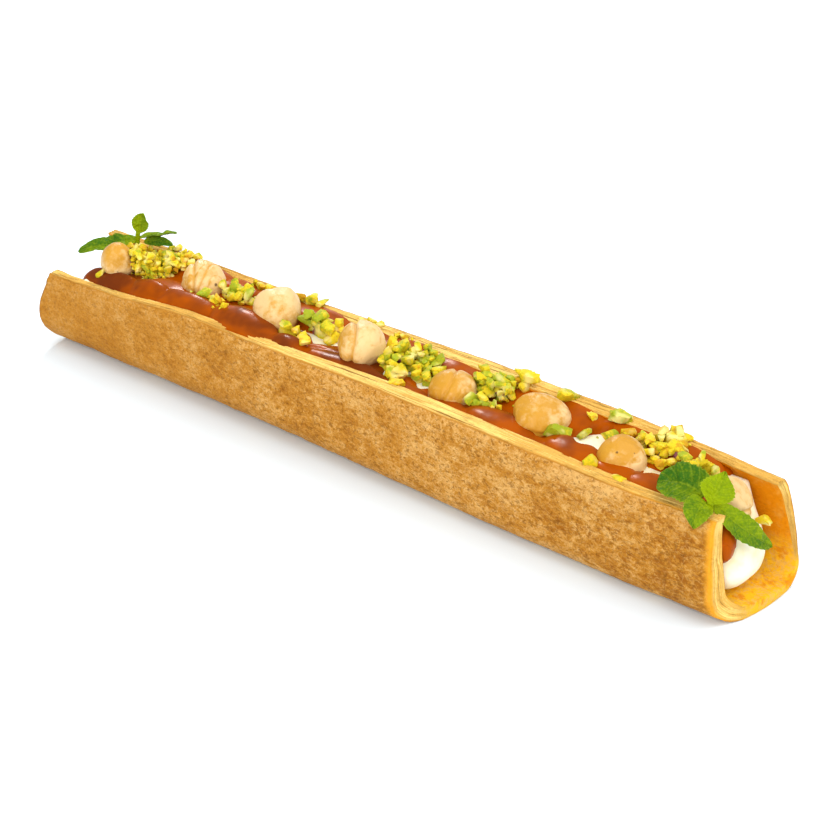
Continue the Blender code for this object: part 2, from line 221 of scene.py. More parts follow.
# Each heap of chopped pistachio: middle x and y, spread along and across, how many, chunk size, and
# how green it is
HEAPS = (
    (-92.3, 3.9, 8.4, 6.2, 118, 2.35, 0.3),
    (-96.5, 0.8, 3.6, 2.2, 18, 2.3, 0.25),
    (-85.0, 6.6, 4.2, 3.2, 24, 2.3, 0.25),
    (-93.5, -1.6, 4.6, 1.6, 16, 2.3, 0.1),
    (-89.0, 13.6, 6.6, 1.6, 12, 2.4, 0.3),
    (-57.5, 3.0, 5.6, 2.2, 20, 2.8, 0.5),
    (-60.0, -4.2, 3.4, 0.9, 5, 2.9, 0.1),
    (-36.0, 12.9, 2.6, 0.8, 3, 4.0, 0.05),
    (-40.0, 12.0, 1.6, 0.7, 2, 3.2, -0.15),
    (-56.0, 11.8, 3.4, 0.8, 5, 2.6, 0.2),
    (-51.5, -7.6, 0.5, 0.5, 1, 2.8, 0.05),
    (-22.0, -7.7, 0.5, 0.4, 1, 3.8, 0.05),
    (-28.0, -4.6, 3.4, 1.2, 6, 3.4, 0.1),
    (-25.5, 2.8, 3.8, 1.4, 9, 3.6, 0.7),
    (-19.0, 2.6, 1.6, 2.6, 4, 4.4, 0.1),
    (-2.5, 11.4, 2.4, 0.9, 3, 2.9, 0.1),
    (-14.5, 13.6, 4.4, 0.8, 4, 2.8, 0.1),
    (5.0, 1.6, 5.4, 4.6, 24, 3.3, 0.5),
    (14.0, 2.0, 4.6, 4.0, 16, 3.1, 0.55),
    (10.5, 6.4, 5.6, 2.0, 9, 3.0, 0.5),
    (8.6, -4.8, 3.2, 1.2, 4, 3.8, 0.05),
    (13.8, -9.9, 0.5, 0.4, 1, 4.2, 0.0),
    (35.5, 5.0, 6.0, 3.6, 36, 3.0, 0.55),
    (37.0, -2.6, 6.0, 2.0, 12, 2.9, 0.55),
    (41.0, 10.2, 2.2, 1.0, 4, 4.0, 0.05),
    (55.0, 11.4, 0.5, 0.4, 1, 4.8, 0.05),
    (65.1, 8.1, 0.5, 0.5, 1, 2.9, -0.2),
    (61.8, -1.0, 1.2, 1.4, 2, 4.6, 0.75),
    (66.8, 2.4, 1.0, 0.8, 1, 4.6, 1.0),
    (72.0, 10.9, 0.4, 0.4, 1, 6.0, 0.8),
    (74.5, 5.0, 0.8, 0.5, 1, 4.2, 0.7),
    (78.2, -9.9, 0.5, 0.4, 1, 4.9, 0.1),
    (87.0, -11.9, 0.5, 0.4, 1, 4.2, 0.0),
    (81.0, 6.6, 3.4, 2.4, 7, 3.2, 0.1),
    (88.5, 7.6, 6.0, 3.4, 15, 2.9, 0.05),
    (91.0, 2.8, 5.0, 2.4, 10, 3.0, -0.05),
    (97.5, 5.0, 3.4, 3.2, 9, 3.0, 0.2),
    (88.0, 13.4, 2.8, 0.7, 3, 3.1, 0.2),
    (103.0, 3.4, 2.6, 2.0, 4, 3.2, 0.25),
    (-101.5, -9.4, 0.5, 0.5, 1, 2.6, 0.3),
)
# Chunks that cling to a slope: middle, size and how green
CLINGING = ((102.5, -1.5, 27.6, 2.8, 0.2), (118.2, 5.2, 21.2, 3.8, -0.1))
CHUNK_RINGS, CHUNK_SEGMENTS = 9, 13
CHUNK_CREASE = 28.0  # degrees between faces that meet in a crisp edge
CHUNK_HALVES = ((0.62, 1.1), (0.42, 0.72), (0.3, 0.55))  # least and most half sizes
TRIES = 14  # spots that each chunk tries
TOPPING_REACH = 17.5  # how far the chunks reach across, from the middle
CRUMBS = 160
CRUMB_SPREAD, CRUMB_SIZES = (2.4, 1.4), (0.6, 1.3)
SKINNED = 0.05  # share of the chunks that keep some skin

# ---- small touches of colour ----
CARAMEL_SHEEN = (1.0, 0.70, 0.48)
MARK_COLOUR, SKIN_COLOUR, VEIN_COLOUR = (0.07, 0.025, 0.008), (0.20, 0.06, 0.07), (0.42, 0.50, 0.03)

# ---- camera and light ----
CAMERA_TARGET = (14.02, 0.0, 14.39)
CAMERA_AZIMUTH, CAMERA_ELEVATION = 39.2, 29.43
CAMERA_DISTANCE = 551.35
CAMERA_LENS, CAMERA_SENSOR = 86.0, 36.0
KEY_WAY, KEY_POWER, KEY_ANGLE, KEY_DISTANCE = (1.00, 0.40, 0.9), 1.80, 85.0, 1.5
# Each soft light: the way towards it, its power and its size in metres
SOFT_LIGHTS = {
    "Overhead": ((0.05, 0.15, 1.0), 8.5, 1.6),
    "Softbox": ((-0.68, 0.60, 0.58), 3.4, 0.13),
    "Fill": ((0.25, -1.0, 0.50), 8.6, 0.9),
}
SOFT_DISTANCE = 1.0
SKY_STRENGTH = 0.34
FLOOR_HALF, FLOOR_DROP, FLOOR_POINTS = 4000.0, 0.05, 9
FLOOR_COLOURS = ((0.83, 0.93, 1.0), (0.84, 0.94, 1.0))


class PastrySizes(PropertyGroup):
    length: FloatProperty(
        name="Length", description="Tip to tip, along the base", default=0.2478, unit="LENGTH"
    )
    width: FloatProperty(name="Width", description="Across both walls", default=0.0338, unit="LENGTH")
    height: FloatProperty(
        name="Wall height", description="Height of the level walls", default=0.0290, unit="LENGTH"
    )
    wall: FloatProperty(
        name="Wall", description="Thickness at the thickest place", default=0.0061, unit="LENGTH"
    )
    wall_end: FloatProperty(
        name="Wall at the end", description="Thickness at the far end", default=0.0034, unit="LENGTH"
    )
    layers: IntProperty(name="Layers", description="Leaves of dough in the walls' thickness", default=8)
    blister: FloatProperty(
        name="Blisters", description="Height of the crust's fine relief", default=0.00013, unit="LENGTH"
    )
    seed: IntProperty(name="Seed", description="Start of the scatter of the chopped nuts", default=7)


def colour(name, description, value):
    return FloatVectorProperty(
        name=name, description=description, default=value, subtype="COLOR", size=3, min=0.0, max=1.0
    )


class PastryColours(PropertyGroup):
    crust_pale: colour("Pale crust", "Blistered flecks of the crust", (0.66, 0.370, 0.112))
    crust: colour("Crust", "Most of the crust", (0.46, 0.190, 0.020))
    crust_brown: colour("Browned crust", "Darkest specks of the crust", (0.29, 0.094, 0.007))
    layer_pale: colour("Pale layers", "Lightest leaves in the cut edges", (0.94, 0.65, 0.19))
    layer: colour("Layers", "Most leaves in the cut edges", (0.75, 0.42, 0.085))
    # Painted shade: the dark colour put in the gaps and cracks between the dough's leaves on the cut
    # edges
    gap_and_crack_shade: colour("Gaps", "Gaps between the leaves", (0.22, 0.07, 0.006))
    inside: colour("Inside", "Inner faces of the shell", (0.70, 0.225, 0.001))
    edge_gold: colour("Gilded edge", "Outer edge of the near end", (0.88, 0.37, 0.02))
    golden: colour("Golden floor", "Fried, bubbled floor at the near end", (0.86, 0.46, 0.012))
    cream: colour("Cream", "Custard cream", (0.94, 0.88, 0.68))
    caramel: colour("Caramel", "Caramel in thin places", (0.37, 0.068, 0.0))
    caramel_deep: colour("Deep caramel", "Caramel in thick places", (0.14, 0.026, 0.004))
    nut: colour("Hazelnut", "Bare kernel", (0.74, 0.50, 0.22))
    nut_toast: colour("Toast", "Toasted patches", (0.56, 0.27, 0.022))
    pistachio: colour("Pistachio", "Yellow heart of the chunks", (0.70, 0.53, 0.014))
    pistachio_green: colour("Pistachio rim", "Green outer flesh of the chunks", (0.33, 0.38, 0.015))
    pistachio_pale: colour("Pistachio cut", "Pale cut faces of some chunks", (0.84, 0.73, 0.26))
    pistachio_amber: colour("Stained pistachio", "Chunks wet with caramel", (0.56, 0.26, 0.01))
    mint: colour("Mint", "Young leaves", (0.25, 0.33, 0.001))
    mint_dark: colour("Dark mint", "Old leaves", (0.032, 0.115, 0.006))


# ---- arithmetic ----


def smooth(a, b, x):
    """0 at a, 1 at b, with a level start and end."""
    t = np.clip((x - a) / (b - a), 0.0, 1.0)
    return t * t * (3.0 - 2.0 * t)


def bump(u, centre, width):
    """A bell curve: 1 at the centre, falling as e to the minus square of the distance in widths."""
    return np.exp(-(((u - centre) / width) ** 2))


def rounded(inside, radius):
    """0 at an end and 1 from a radius inside it, along a quarter circle."""
    return np.sqrt(np.clip(1 - (1 - np.clip(inside / radius, 0, 1)) ** 2, 0.0, 1.0))


def turns(count):
    """Angles that share out a full turn, as a row."""
    return np.linspace(0, 2 * pi, count, endpoint=False)[None]


def unit(vectors):
    """Vectors divided by their lengths."""
    vectors = np.asarray(vectors, float)
    return vectors / np.linalg.norm(vectors, axis=-1, keepdims=True)


def scramble(cells, seed):
    """A number in -1..1 for each whole-numbered cell, by mixing the bits of a weighted sum."""
    mixed = cells @ np.array([374761393, 668265263, 224682251]) + seed * 326648991
    mixed = mixed.astype(np.uint64) & 0xFFFFFFFF
    for shift in (15, 13):
        mixed = ((mixed ^ (mixed >> shift)) * 668265261) & 0xFFFFFFFF
    return ((mixed ^ (mixed >> 16)) & 0xFFFF) / 32767.5 - 1.0


def noise(points, size, seed=0):
    """A smooth random field in -1..1: a random number at each corner of a lattice of cells of the
    given size, blended across the cell by smoothstep."""
    place = np.asarray(points) / size
    cell = np.floor(place)
    t = smooth(0.0, 1.0, place - cell)
    cell = cell.astype(np.int64)
    total = np.zeros(place.shape[:-1])
    for corner in np.ndindex(2, 2, 2):
        weight = np.where(corner, t, 1 - t).prod(axis=-1)
        total += weight * scramble(cell + np.array(corner), seed)
    return total


def fractal(points, size, octaves, seed=0):
    """Noise at halving sizes and strengths, added up."""
    return sum(noise(points, np.asarray(size) / 2**k, seed + 11 * k) / 2**k for k in range(octaves))


def wave(x, size, seed):
    """Noise along one line."""
    x = np.asarray(x, float)
    return noise(np.stack([x, 0 * x + 0.5 * size, 0 * x + 0.5 * size], axis=-1), size, seed)


# ---- meshes ----


def quads(index):
    """The faces between neighbours in a 2-D array of vertex numbers."""
    corners = [index[:-1, :-1], index[:-1, 1:], index[1:, 1:], index[1:, :-1]]
    return np.stack(corners, axis=-1).reshape(-1, 4)


def tube(rings):
    """Points and faces of a closed body through rings (stations x count x 3), with a fan of
    triangles from each end ring to its middle."""
    stations, count = rings.shape[:2]
    index = np.arange(stations * count).reshape(stations, count)
    index = np.concatenate([index, index[:, :1]], axis=1)
    middles = [rings[0].mean(axis=0), rings[-1].mean(axis=0)]
    first, last = stations * count, stations * count + 1
    start, end = index[0], index[-1]
    fans = np.concatenate(
        [
            np.stack([start[1:], start[:-1], np.full(count, first)], axis=-1),
            np.stack([end[:-1], end[1:], np.full(count, last)], axis=-1),
        ]
    )
    return np.concatenate([rings.reshape(-1, 3), middles]), quads(index).tolist() + fans.tolist()


def ball(rings, segments):
    """Directions on a unit sphere as latitude rings x segments, without the poles."""
    polar = (np.arange(rings) + 0.5) / rings * pi
    round_ = np.arange(segments) / segments * 2 * pi
    polar, round_ = np.meshgrid(polar, round_, indexing="ij")
    ways = [np.sin(polar) * np.cos(round_), np.sin(polar) * np.sin(round_), -np.cos(polar)]
    return np.stack(ways, axis=-1)


def with_middles(values):
    """Values on rings as one row, with the end rings' means for the two points that tube adds."""
    return np.append(values.ravel(), [values[0].mean(), values[-1].mean()])


def box_middle(node):
    """Middle of a node's box, in millimetres."""
    low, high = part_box(node)
    return (np.array(low) + np.array(high)) / 2 / MM


def joined(bodies):
    """Several (points, faces) as one."""
    start, all_points, all_faces = 0, [], []
    for points, faces in bodies:
        all_points.append(points)
        all_faces += [[v + start for v in face] for face in faces]
        start += len(points)
    return np.concatenate(all_points), all_faces


def make_piece(name, body, material, stands_for=(), fields=None):
    """A mesh object from points in millimetres, with float attributes, that rides on the pastry."""
    points, faces = body
    mesh = bpy.data.meshes.new(name)
    mesh.from_pydata((np.asarray(points) * MM).tolist(), [], faces)
    for field, values in (fields or {}).items():
        layer = mesh.attributes.new(field, "FLOAT", "POINT")
        layer.data.foreach_set("value", np.asarray(values, np.float32).ravel())
    mesh.materials.append(material)
    mesh.shade_smooth()
    obj = bpy.data.objects.new(name, mesh)
    bpy.context.scene.collection.objects.link(obj)
    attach(obj, "root")
    if stands_for:
        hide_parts(*stands_for)
    return obj


# ---- the shell's shape ----


def wall_tops(x, height):
    """Heights of the front and the back wall at x: level, with smooth steps and low bell curves."""
    front = height - FAR_DROP * smooth(-55, -105, x) - FAR_NIP * smooth(-97, -116, x)
    front += FRONT_RISE * bump(x, 12, 30)
    back = height - BACK_DROP + BACK_RISE * bump(x, 42, 55)
    return front, back


def wall_thickness(x, sizes):
    """Thickness at x: a bell curve over the far end's thickness."""
    end, thick = sizes.wall_end / MM, sizes.wall / MM
    return end + (thick - end) * bump(x, THICKEST, THICK_REACH)


def lean(x, z, height):
    """How far a wall leans inwards at height z: towards both ends, with the height's square."""
    return PINCH * smooth(85, 120, np.abs(x)) * (z / height) ** 2


def half_room(x, sizes):
    """Half of the clear width at the fill level: half the width less the wall and its lean."""
    return sizes.width / MM / 2 - wall_thickness(x, sizes) - lean(x, FILL_LEVEL, sizes.height / MM)


def near_end(u, length):
    """X of the near end along the U: a sweep that a sine takes away in the middle, with two small
    bells. u is 0 at the front wall's top and 1 at the back wall's."""
    sweep = (7.2 - 2.3 * u) * (1.0 - np.sin(pi * u**1.8))
    return length / 2 - sweep - 0.6 * bump(u, 0.31, 0.07) + 1.6 * bump(u, 0.50, 0.12)


def far_end(u, length):
    """X of the far end along the U: upright, with a bell-shaped bite at three places."""
    return -length / 2 + 4.2 * bump(u, 0.0, 0.15) + 2.5 * bump(u, 0.38, 0.08) + 3.5 * bump(u, 1.0, 0.15)


def corner_radii(x):
    """Radii of the front and the back corner at x, blended by smoothstep."""
    front = FRONT_RADIUS_FAR + (FRONT_RADIUS - FRONT_RADIUS_FAR) * smooth(-30, 60, x)
    front += (FRONT_RADIUS_NEAR - FRONT_RADIUS) * smooth(95, 124, x)
    return front, BACK_RADIUS + (BACK_RADIUS_NEAR - BACK_RADIUS) * smooth(70, 124, x)


def quarter(radius, height):
    """From a wall's top down and round to the base, for a wall whose outside is at 0 and leads to a
    corner of this radius: distance inwards, height, and the inward normal's two parts."""
    radius = np.asarray(radius)[..., None]
    down = np.arange(WALL_ROWS) / WALL_ROWS
    turn = np.linspace(0.0, pi / 2, CORNER_ROWS + 1)
    inwards = np.concatenate([0 * radius * down, radius * (1 - np.cos(turn))], axis=-1)
    up = np.concatenate([height - (height - radius) * down, radius * (1 - np.sin(turn))], axis=-1)
    return inwards, up, np.append(0 * down + 1, np.cos(turn)), np.append(0 * down, np.sin(turn))


def outline(x, width, height):
    """The U from the front wall's top to the back wall's, at each x: y, z, and the inward normal."""
    front_radius, back_radius = corner_radii(x)
    front_in, front_z, ny, nz = quarter(front_radius, height)
    back_in, back_z, _, _ = quarter(back_radius, height)
    front_y, back_y = front_in - width / 2, width / 2 - back_in[:, ::-1]
    share = np.arange(1, BASE_ROWS) / BASE_ROWS
    base_y = front_y[:, -1:] * (1 - share) + back_y[:, :1] * share
    y = np.concatenate([front_y, base_y, back_y], axis=1)
    z = np.concatenate([front_z, 0 * base_y, back_z[:, ::-1]], axis=1)
    ny, nz = [ny, 0 * share, -ny[::-1]], [nz, 0 * share + 1, nz[::-1]]
    return y, z, np.concatenate(ny), np.concatenate(nz)


def leaf_lines(x, across, count, seed):
    """The dough's leaves over a cut edge: ridge height 0..1 and crack depth 0..1. across runs from
    0 at the outside to 1 at the inside. The lines wander along x, and cracks open here and there."""
    place = np.stack([x, across * 9.0, 0 * x + seed], axis=-1)
    wander = 0.45 * noise(place, (26.0, 4.0, 1.0), seed) + 0.25 * noise(place, (7.0, 2.0, 1.0), seed + 1)
    ridge = 0.5 + 0.5 * np.cos(2 * pi * (across * count + wander))
    ridge = ridge * (0.65 + 0.35 * noise(place, (12.0, 3.0, 1.0), seed + 2))
    crack = 0 * x
    for number, at in enumerate((0.24, 0.36, 0.62)):
        middle = at + 0.05 * wave(x, 22.0, seed + 5 + number)
        opened = smooth(-0.25, 0.35, wave(x, 19.0, seed + 9 + number))
        crack = np.maximum(crack, opened * bump(across, middle, 0.040))
    return ridge, crack


def gilt(u):
    """How golden the outer edge of the near end is along the U: most on the front wall."""
    return smooth(0.42, 0.28, u) + 0.4 * smooth(0.72, 0.90, u)


def crust_relief(points, blister):
    """Height of the crust's face: slow swells, fine blisters and small pits."""
    swell = 0.20 * fractal(points, 13.0, 2, 3)
    fine = fractal(points, (3.0, 2.2, 2.2), 3, 5)
    pits = smooth(0.30, 0.75, noise(points, (1.9, 1.4, 1.4), 8))
    return swell + blister * fine - 1.3 * blister * pits


def shell_sides(sizes):
    """The outer and the inner face as stations x points round the U: the outline, and its offset
    inwards by the wall's thickness, with slow waves and fine relief. Also x, the share of the way
    along the U, and the length run along it."""
    length, width, height = sizes.length / MM, sizes.width / MM, sizes.height / MM
    t = np.linspace(-1.0, 1.0, STATIONS)[:, None]
    y, z, ny, nz = outline(t[:, 0] * length / 2, width, height)
    run = np.cumsum(np.hypot(np.diff(y[STATIONS // 2]), np.diff(z[STATIONS // 2])))
    u = np.append(0.0, run / run[-1])
    x = far_end(u, length) * (1 - t) / 2 + near_end(u, length) * (1 + t) / 2
    near = smooth(108, length / 2, x)
    lip = near * bump(u, 0.70, 0.18)
    thickness = wall_thickness(x, sizes) + HEEL * near * bump(u, 0.22, 0.16)
    thickness = thickness * (1 - lip) + THIN_LIP * lip
    front, back = wall_tops(x, height)
    front += 0.22 * wave(x, 15.0, 21) + 0.10 * wave(x, 5.0, 22)
    back += 0.25 * wave(x, 17.0, 23) + 0.10 * wave(x, 6.0, 24)
    stretch = 1 + (np.where(y < 0, front, back) / height - 1) * smooth(BACK_RADIUS, height, z)
    outer = np.stack([x, y - np.sign(y) * lean(x, z, height), z * stretch], axis=-1)
    inward = np.stack([0 * x, ny + 0 * x, nz + 0 * x], axis=-1)
    high = smooth(8.0, height, z)
    outer[..., 1] += 0.35 * high * np.where(y < 0, wave(x, 21.0, 31), wave(x, 24.0, 32))
    outer[..., 1] -= np.sign(y) * 0.9 * smooth(height - 2.6, height, z) ** 2
    inner = outer + inward * thickness[..., None]
    inner[..., 1] += 0.40 * high * np.where(y < 0, wave(x, 11.0, 33), wave(x, 12.0, 34))
    relief = crust_relief(outer, sizes.blister / MM)[..., None]
    outer -= inward * relief * smooth(0.0, 3.0, z)[..., None]
    outer[..., 2] = np.where(z < 0.2, np.maximum(outer[..., 2], 0.0), outer[..., 2])
    inner += inward * (0.12 * fractal(inner, 2.6, 3, 9) + 0.25 * noise(inner, 9.0, 10))[..., None]
    return outer, inner, x, u, run


def rim_strip(outer, inner, layers, seed):
    """A wall's cut top, from its outer to its inner edge: a low crown with the leaves' ridges and
    cracks. Gives the points, and how ridged and how cracked each is."""
    rim = outer[:, None] * (1 - RIM_SHARES[:, None]) + inner[:, None] * RIM_SHARES[:, None]
    ridge, crack = leaf_lines(rim[..., 0], RIM_SHARES + 0 * rim[..., 0], layers, seed)
    crack = crack * (1 - 0.75 * smooth(94, 106, rim[..., 0]))
    crown = 0.45 * (1 - np.abs(2 * RIM_SHARES - 1) ** 4)
    rim[..., 2] += crown + 0.32 * (ridge - 0.5) - 0.65 * crack
    return rim, ridge, crack


def end_strip(outer, inner, run, u, layers, sign):
    """The cut face of one end, between the edges of both faces: flat, pushed in and out by the
    leaves. The floor of the near end is bare and swells a little. sign is 1 at the near end."""
    flat = outer[1:-1, None] * (1 - RIM_SHARES[:, None])
    flat += inner[1:-1, None] * RIM_SHARES[:, None]
    along = np.repeat(run[:-1, None], RIM_ROWS, axis=1)
    ridge, crack = leaf_lines(along, RIM_SHARES + 0 * along, layers, 61)
    place = u[1:-1, None] + 0 * ridge
    bare = smooth(0.38, 0.45, place) * smooth(0.84, 0.74, place) if sign > 0 else 0 * ridge
    push = 0.35 * (ridge - 0.5) - 0.55 * crack + 0.35 * noise(flat, 3.0, 12)
    push = push * (1 - bare) + 0.5 * bare
    flat[..., 0] += sign * push * np.sin(pi * RIM_SHARES) ** 0.4
    return flat, {
        "cut": 1 - bare,
        "inside": bare,
        "ridge": ridge,
        "crack": 0.75 * crack * (1 - bare),
        "across": RIM_SHARES + 0 * ridge,
        "course": along + END_COURSE,
        "glow": gilt(place) * (sign > 0),
    }


def crust_tones(points, on_rim, sizes):
    """How toasted, coarse, browned and golden the crust is at each point: smooth steps and bell
    curves along x and z, and noise."""
    x, z = points[:, 0], points[:, 2]
    below = np.where(points[:, 1] < 0, *wall_tops(x, sizes.height / MM)) - z
    by_edge = np.maximum(smooth(7.0, 0.5, below), 0.7 * smooth(7.0, 1.5, z))
    toast = 0.44 + 0.18 * smooth(70, 118, x) - 0.26 * bump(x, 32, 50) + 0.05 * smooth(-60, -110, x)
    toast += 0.14 * fractal(points, 14.0, 2, 71)
    browned = 0.35 + 0.65 * smooth(20, 95, x) - 0.25 * smooth(-50, -105, x)
    browned *= 1 - 0.6 * by_edge * (1 - on_rim)
    return {
        "toast": toast - (0.08 + 0.34 * smooth(30, 105, x)) * by_edge,
        "coarse": 0.60 + 0.40 * smooth(-95, -20, x) - 0.10 * smooth(45, 90, x),
        "browned": browned + 0.6 * on_rim * smooth(0, -60, x),
        "golden": smooth(16, 6, z) * smooth(80, 112, x),
    }


def shell_body(sizes):
    """The shell as one closed surface, and its fields. The outer face, the back rim, the inner face
    and the front rim form a ring at each station, and a ladder of points across the thickness
    closes each end."""
    length, layers = sizes.length / MM, sizes.layers
    outer, inner, x, u, run = shell_sides(sizes)
    front_rim, front_ridge, front_crack = rim_strip(outer[:, 0], inner[:, 0], layers, 41)
    back_rim, back_ridge, back_crack = rim_strip(outer[:, -1], inner[:, -1], layers, 51)
    ring = np.concatenate([outer, back_rim, inner[:, ::-1], front_rim[:, ::-1]], axis=1)
    face, rim = 0 * outer[..., 0], 0 * back_ridge
    gilded = smooth(2.8, 0.3, near_end(u, length) - x) * gilt(u)
    strips = {
        "cut": (face, rim + 1, face, rim + 1),
        "inside": (face, rim, face + 1, rim),
        "ridge": (face, back_ridge, face, front_ridge[:, ::-1]),
        "crack": (face, back_crack, face, front_crack[:, ::-1]),
        "across": (face, rim + RIM_SHARES, face + 1, rim + RIM_SHARES[::-1]),
        "course": (ring[..., 0],),
        "glow": (gilded, rim, face, 0.7 * smooth(84, 112, front_rim[..., 0])),
    }
    values = {name: [np.concatenate(parts, axis=1).ravel()] for name, parts in strips.items()}

    count, n = ring.shape[1], outer.shape[1]
    index = np.arange(STATIONS * count).reshape(STATIONS, count)
    faces = [quads(np.concatenate([index, index[:, :1]], axis=1))]
    points, start = [ring.reshape(-1, 3)], STATIONS * count
    for station, sign in ((0, -1.0), (STATIONS - 1, 1.0)):
        flat, added = end_strip(outer[station], inner[station], run, u, layers, sign)
        ladder = np.empty((n, RIM_ROWS + 2), int)
        ladder[:, 0] = index[station, :n]
        ladder[:, -1] = index[station, n + RIM_ROWS : 2 * n + RIM_ROWS][::-1]
        ladder[-1, 1:-1] = index[station, n : n + RIM_ROWS]
        ladder[0, 1:-1] = index[station, 2 * n + RIM_ROWS :][::-1]
        ladder[1:-1, 1:-1] = start + np.arange((n - 2) * RIM_ROWS).reshape(n - 2, RIM_ROWS)
        start += (n - 2) * RIM_ROWS
        faces.append(quads(ladder.T if sign > 0 else ladder))
        points.append(flat.reshape(-1, 3))
        for name, value in added.items():
            values[name].append(value.ravel())
    points = np.concatenate(points)
    fields = {name: np.concatenate(value) for name, value in values.items()}
    on_rim = fields["cut"] * (fields["course"] < length)
    fields.update(crust_tones(points, on_rim, sizes))
    return (points, np.concatenate(faces).tolist()), fields


# ---- fillings ----


def fill_level(x):
    """Height of the cream's top, which sinks towards the far end and a little past the middle."""
    return FILL_LEVEL - SINK * smooth(-5, 30, x) - FAR_SINK * smooth(-72, -104, x)


def caramel_top(x, inward, side, sizes):
    """Height of the caramel at a distance inwards from a wall's inner face: a film that runs from just
    under the wall's top down to the cream, and a dome for each lobe. The highest dome counts, so that
    creases form between neighbours."""
    wall = wall_tops(x, sizes.height / MM)[0 if side < 0 else 1]
    level = fill_level(x)
    share = np.clip(inward / FILM_REACH, 0.0, 1.0)
    brim = np.minimum(wall - 0.9, level + 2.4) if side > 0 else np.minimum(wall - 2.0, level + 1.2)
    film = brim * (1 - share) + (level + 1.35 - 0.1 * side) * share
    edge = half_room(x, sizes) + 1.2 + 0.6 * wave(x, 9.0, 6 + side) + 0.4 * wave(x, 4.0, 8 + side)
    for middle, depth, long in FRONT_GAPS if side < 0 else BACK_GAPS:
        edge = edge - depth * bump(x + 1.3 * wave(x, 3.2, 15 + side), middle, long)
    film -= 2.2 * smooth(-1.8, 0.6, inward - edge)  # under the cream
    dome = 0 * film
    for middle, away, long, wide, rise, slant in (FRONT_LOBES if side < 0 else BACK_LOBES):
        run = x - middle
        reach = (run / long) ** 2 + ((inward - away - slant * run) / wide) ** 2
        dome = np.maximum(dome, (1.27 - 0.1 * side) * rise * np.clip(1 - reach, 0.0, 1.0) ** 0.5)
    return film + dome, dome


def caramel_body(side, span, sizes):
    """A band of caramel along one wall: a slab between its top surface and an even bottom, over a grid
    of x and of distance from the wall, rounded at its ends. At the near end of the front band it
    turns into a tall tongue between the wall and the cream, and its far tip dives into the cream.
    side is -1 at the front wall."""
    x = np.linspace(*span, CARAMEL_GRID[0])[:, None]
    share = np.linspace(0, 1, CARAMEL_GRID[1])[None]
    end = smooth(108, 117, x) if side < 0 else 0 * x
    reach = CARAMEL_REACH - (CARAMEL_REACH - TONGUE_REACH) * end
    over = 0.75 * wall_thickness(x, sizes) * (1 - end) - 0.1
    inward = reach * share - over * (1 - share)
    warped = x + 0.7 * wave(x + 3 * inward, 8.0, 3)
    top, dome = caramel_top(warped, inward + 0.5 * wave(x, 6.0, 4), side, sizes)
    top = top - 3.2 * end - 2.0 * end * np.abs(2 * share - 1) ** 2
    bottom = np.minimum(fill_level(x) - 2.2, top - 0.3) - 9.5 * end * (1 - np.abs(2 * share - 1) ** 3)
    inside = np.minimum(x - span[0], span[1] - x)
    tip = rounded(inside, 4.0) * 0.98 + 0.02
    # Both surfaces close on a line between them, and the band narrows
    middle = (top + bottom) / 2
    closing = 1 - tip
    dive = 2.5 * smooth(-100, -107, x) if side < 0 else 0 * x
    middle = middle * (1 - closing) + (middle.mean(axis=1, keepdims=True) - dive) * closing
    y = side * (half_room(x, sizes) - inward)
    centre = y.mean(axis=1, keepdims=True)
    y = centre + (y - centre) * (0.35 + 0.65 * tip)
    upper = np.stack([x + 0 * y, y, middle + (top - middle) * tip], axis=-1)
    lower = np.stack([x + 0 * y, y, middle + (bottom - middle) * tip], axis=-1)
    upper[..., 2] += 0.10 * noise(upper, 4.0, 14) * tip
    rings = np.concatenate([upper, lower[:, ::-1]], axis=1)
    points, faces = tube(rings if side > 0 else rings[:, ::-1])
    thick = np.concatenate([dome, 0 * dome[:, ::-1]], axis=1) / 8.0
    if side < 0:
        # Darker along the listed runs: thick caramel, and by hazelnut 4 partly painted shadow
        thick = thick[:, ::-1] + sum(more * bump(x, middle, long) for middle, long, more in BROWN_AND_SHADOW_RUNS)
    return (points, faces), {"thick": np.append(thick.ravel(), [0.5, 0.5])}


def cream_body(sizes):
    """The cream: a squared-off half ellipse with a low crown, and rounded ends. Towards the near
    end its upper part draws back, so that the face slopes, and its front makes room for caramel."""
    share = 0.5 - 0.5 * np.cos(pi * np.linspace(0, 1, CREAM_GRID[0]))
    x = (CREAM_SPAN[0] + (CREAM_SPAN[1] - CREAM_SPAN[0]) * share)[:, None]
    floor = wall_thickness(x, sizes) + 0.4
    half = half_room(x, sizes) - 0.35
    inside = np.minimum(x - CREAM_SPAN[0], CREAM_SPAN[1] - x)
    scale = rounded(inside, 7.0) + 0.02
    turn = turns(CREAM_GRID[1]) - pi / 2
    c, s = np.cos(turn), np.sin(turn)
    y = half * np.sign(c) * np.abs(c) ** 0.55
    level = fill_level(x)
    depth = level - floor
    top = np.maximum(s, 0) ** 0.8 * 0.5
    z = np.where(s < 0, level - depth * np.abs(s) ** 0.62, level + top)
    middle = floor + 0.38 * depth
    rings = np.stack([x + 0 * y, y * scale, middle + (z - middle) * scale], axis=-1)
    # The upper part of both ends draws back
    up = smooth(11.0, 27.0, rings[..., 2])
    end = smooth(104, 121, x)
    front = 2.2 * smooth(-4, -8, rings[..., 1]) * smooth(10, 15, rings[..., 2])
    rings[..., 0] -= 6.5 * up * end + front * end
    rings[..., 0] += 2.6 * smooth(8.0, 27.0, rings[..., 2]) * smooth(-102, -114, x)
    rings[..., 2] += 0.25 * noise(rings, 7.0, 15) * up
    rings[..., 1:] *= 1 + 0.012 * noise(rings, 8.0, 16)[..., None]
    return tube(rings)


# ---- toppings ----


def tilted(points, direction):
    """Points whose +Z is turned to a direction."""
    turn = np.array(Vector((0, 0, 1)).rotation_difference(Vector(direction)).to_matrix())
    return points @ turn.T


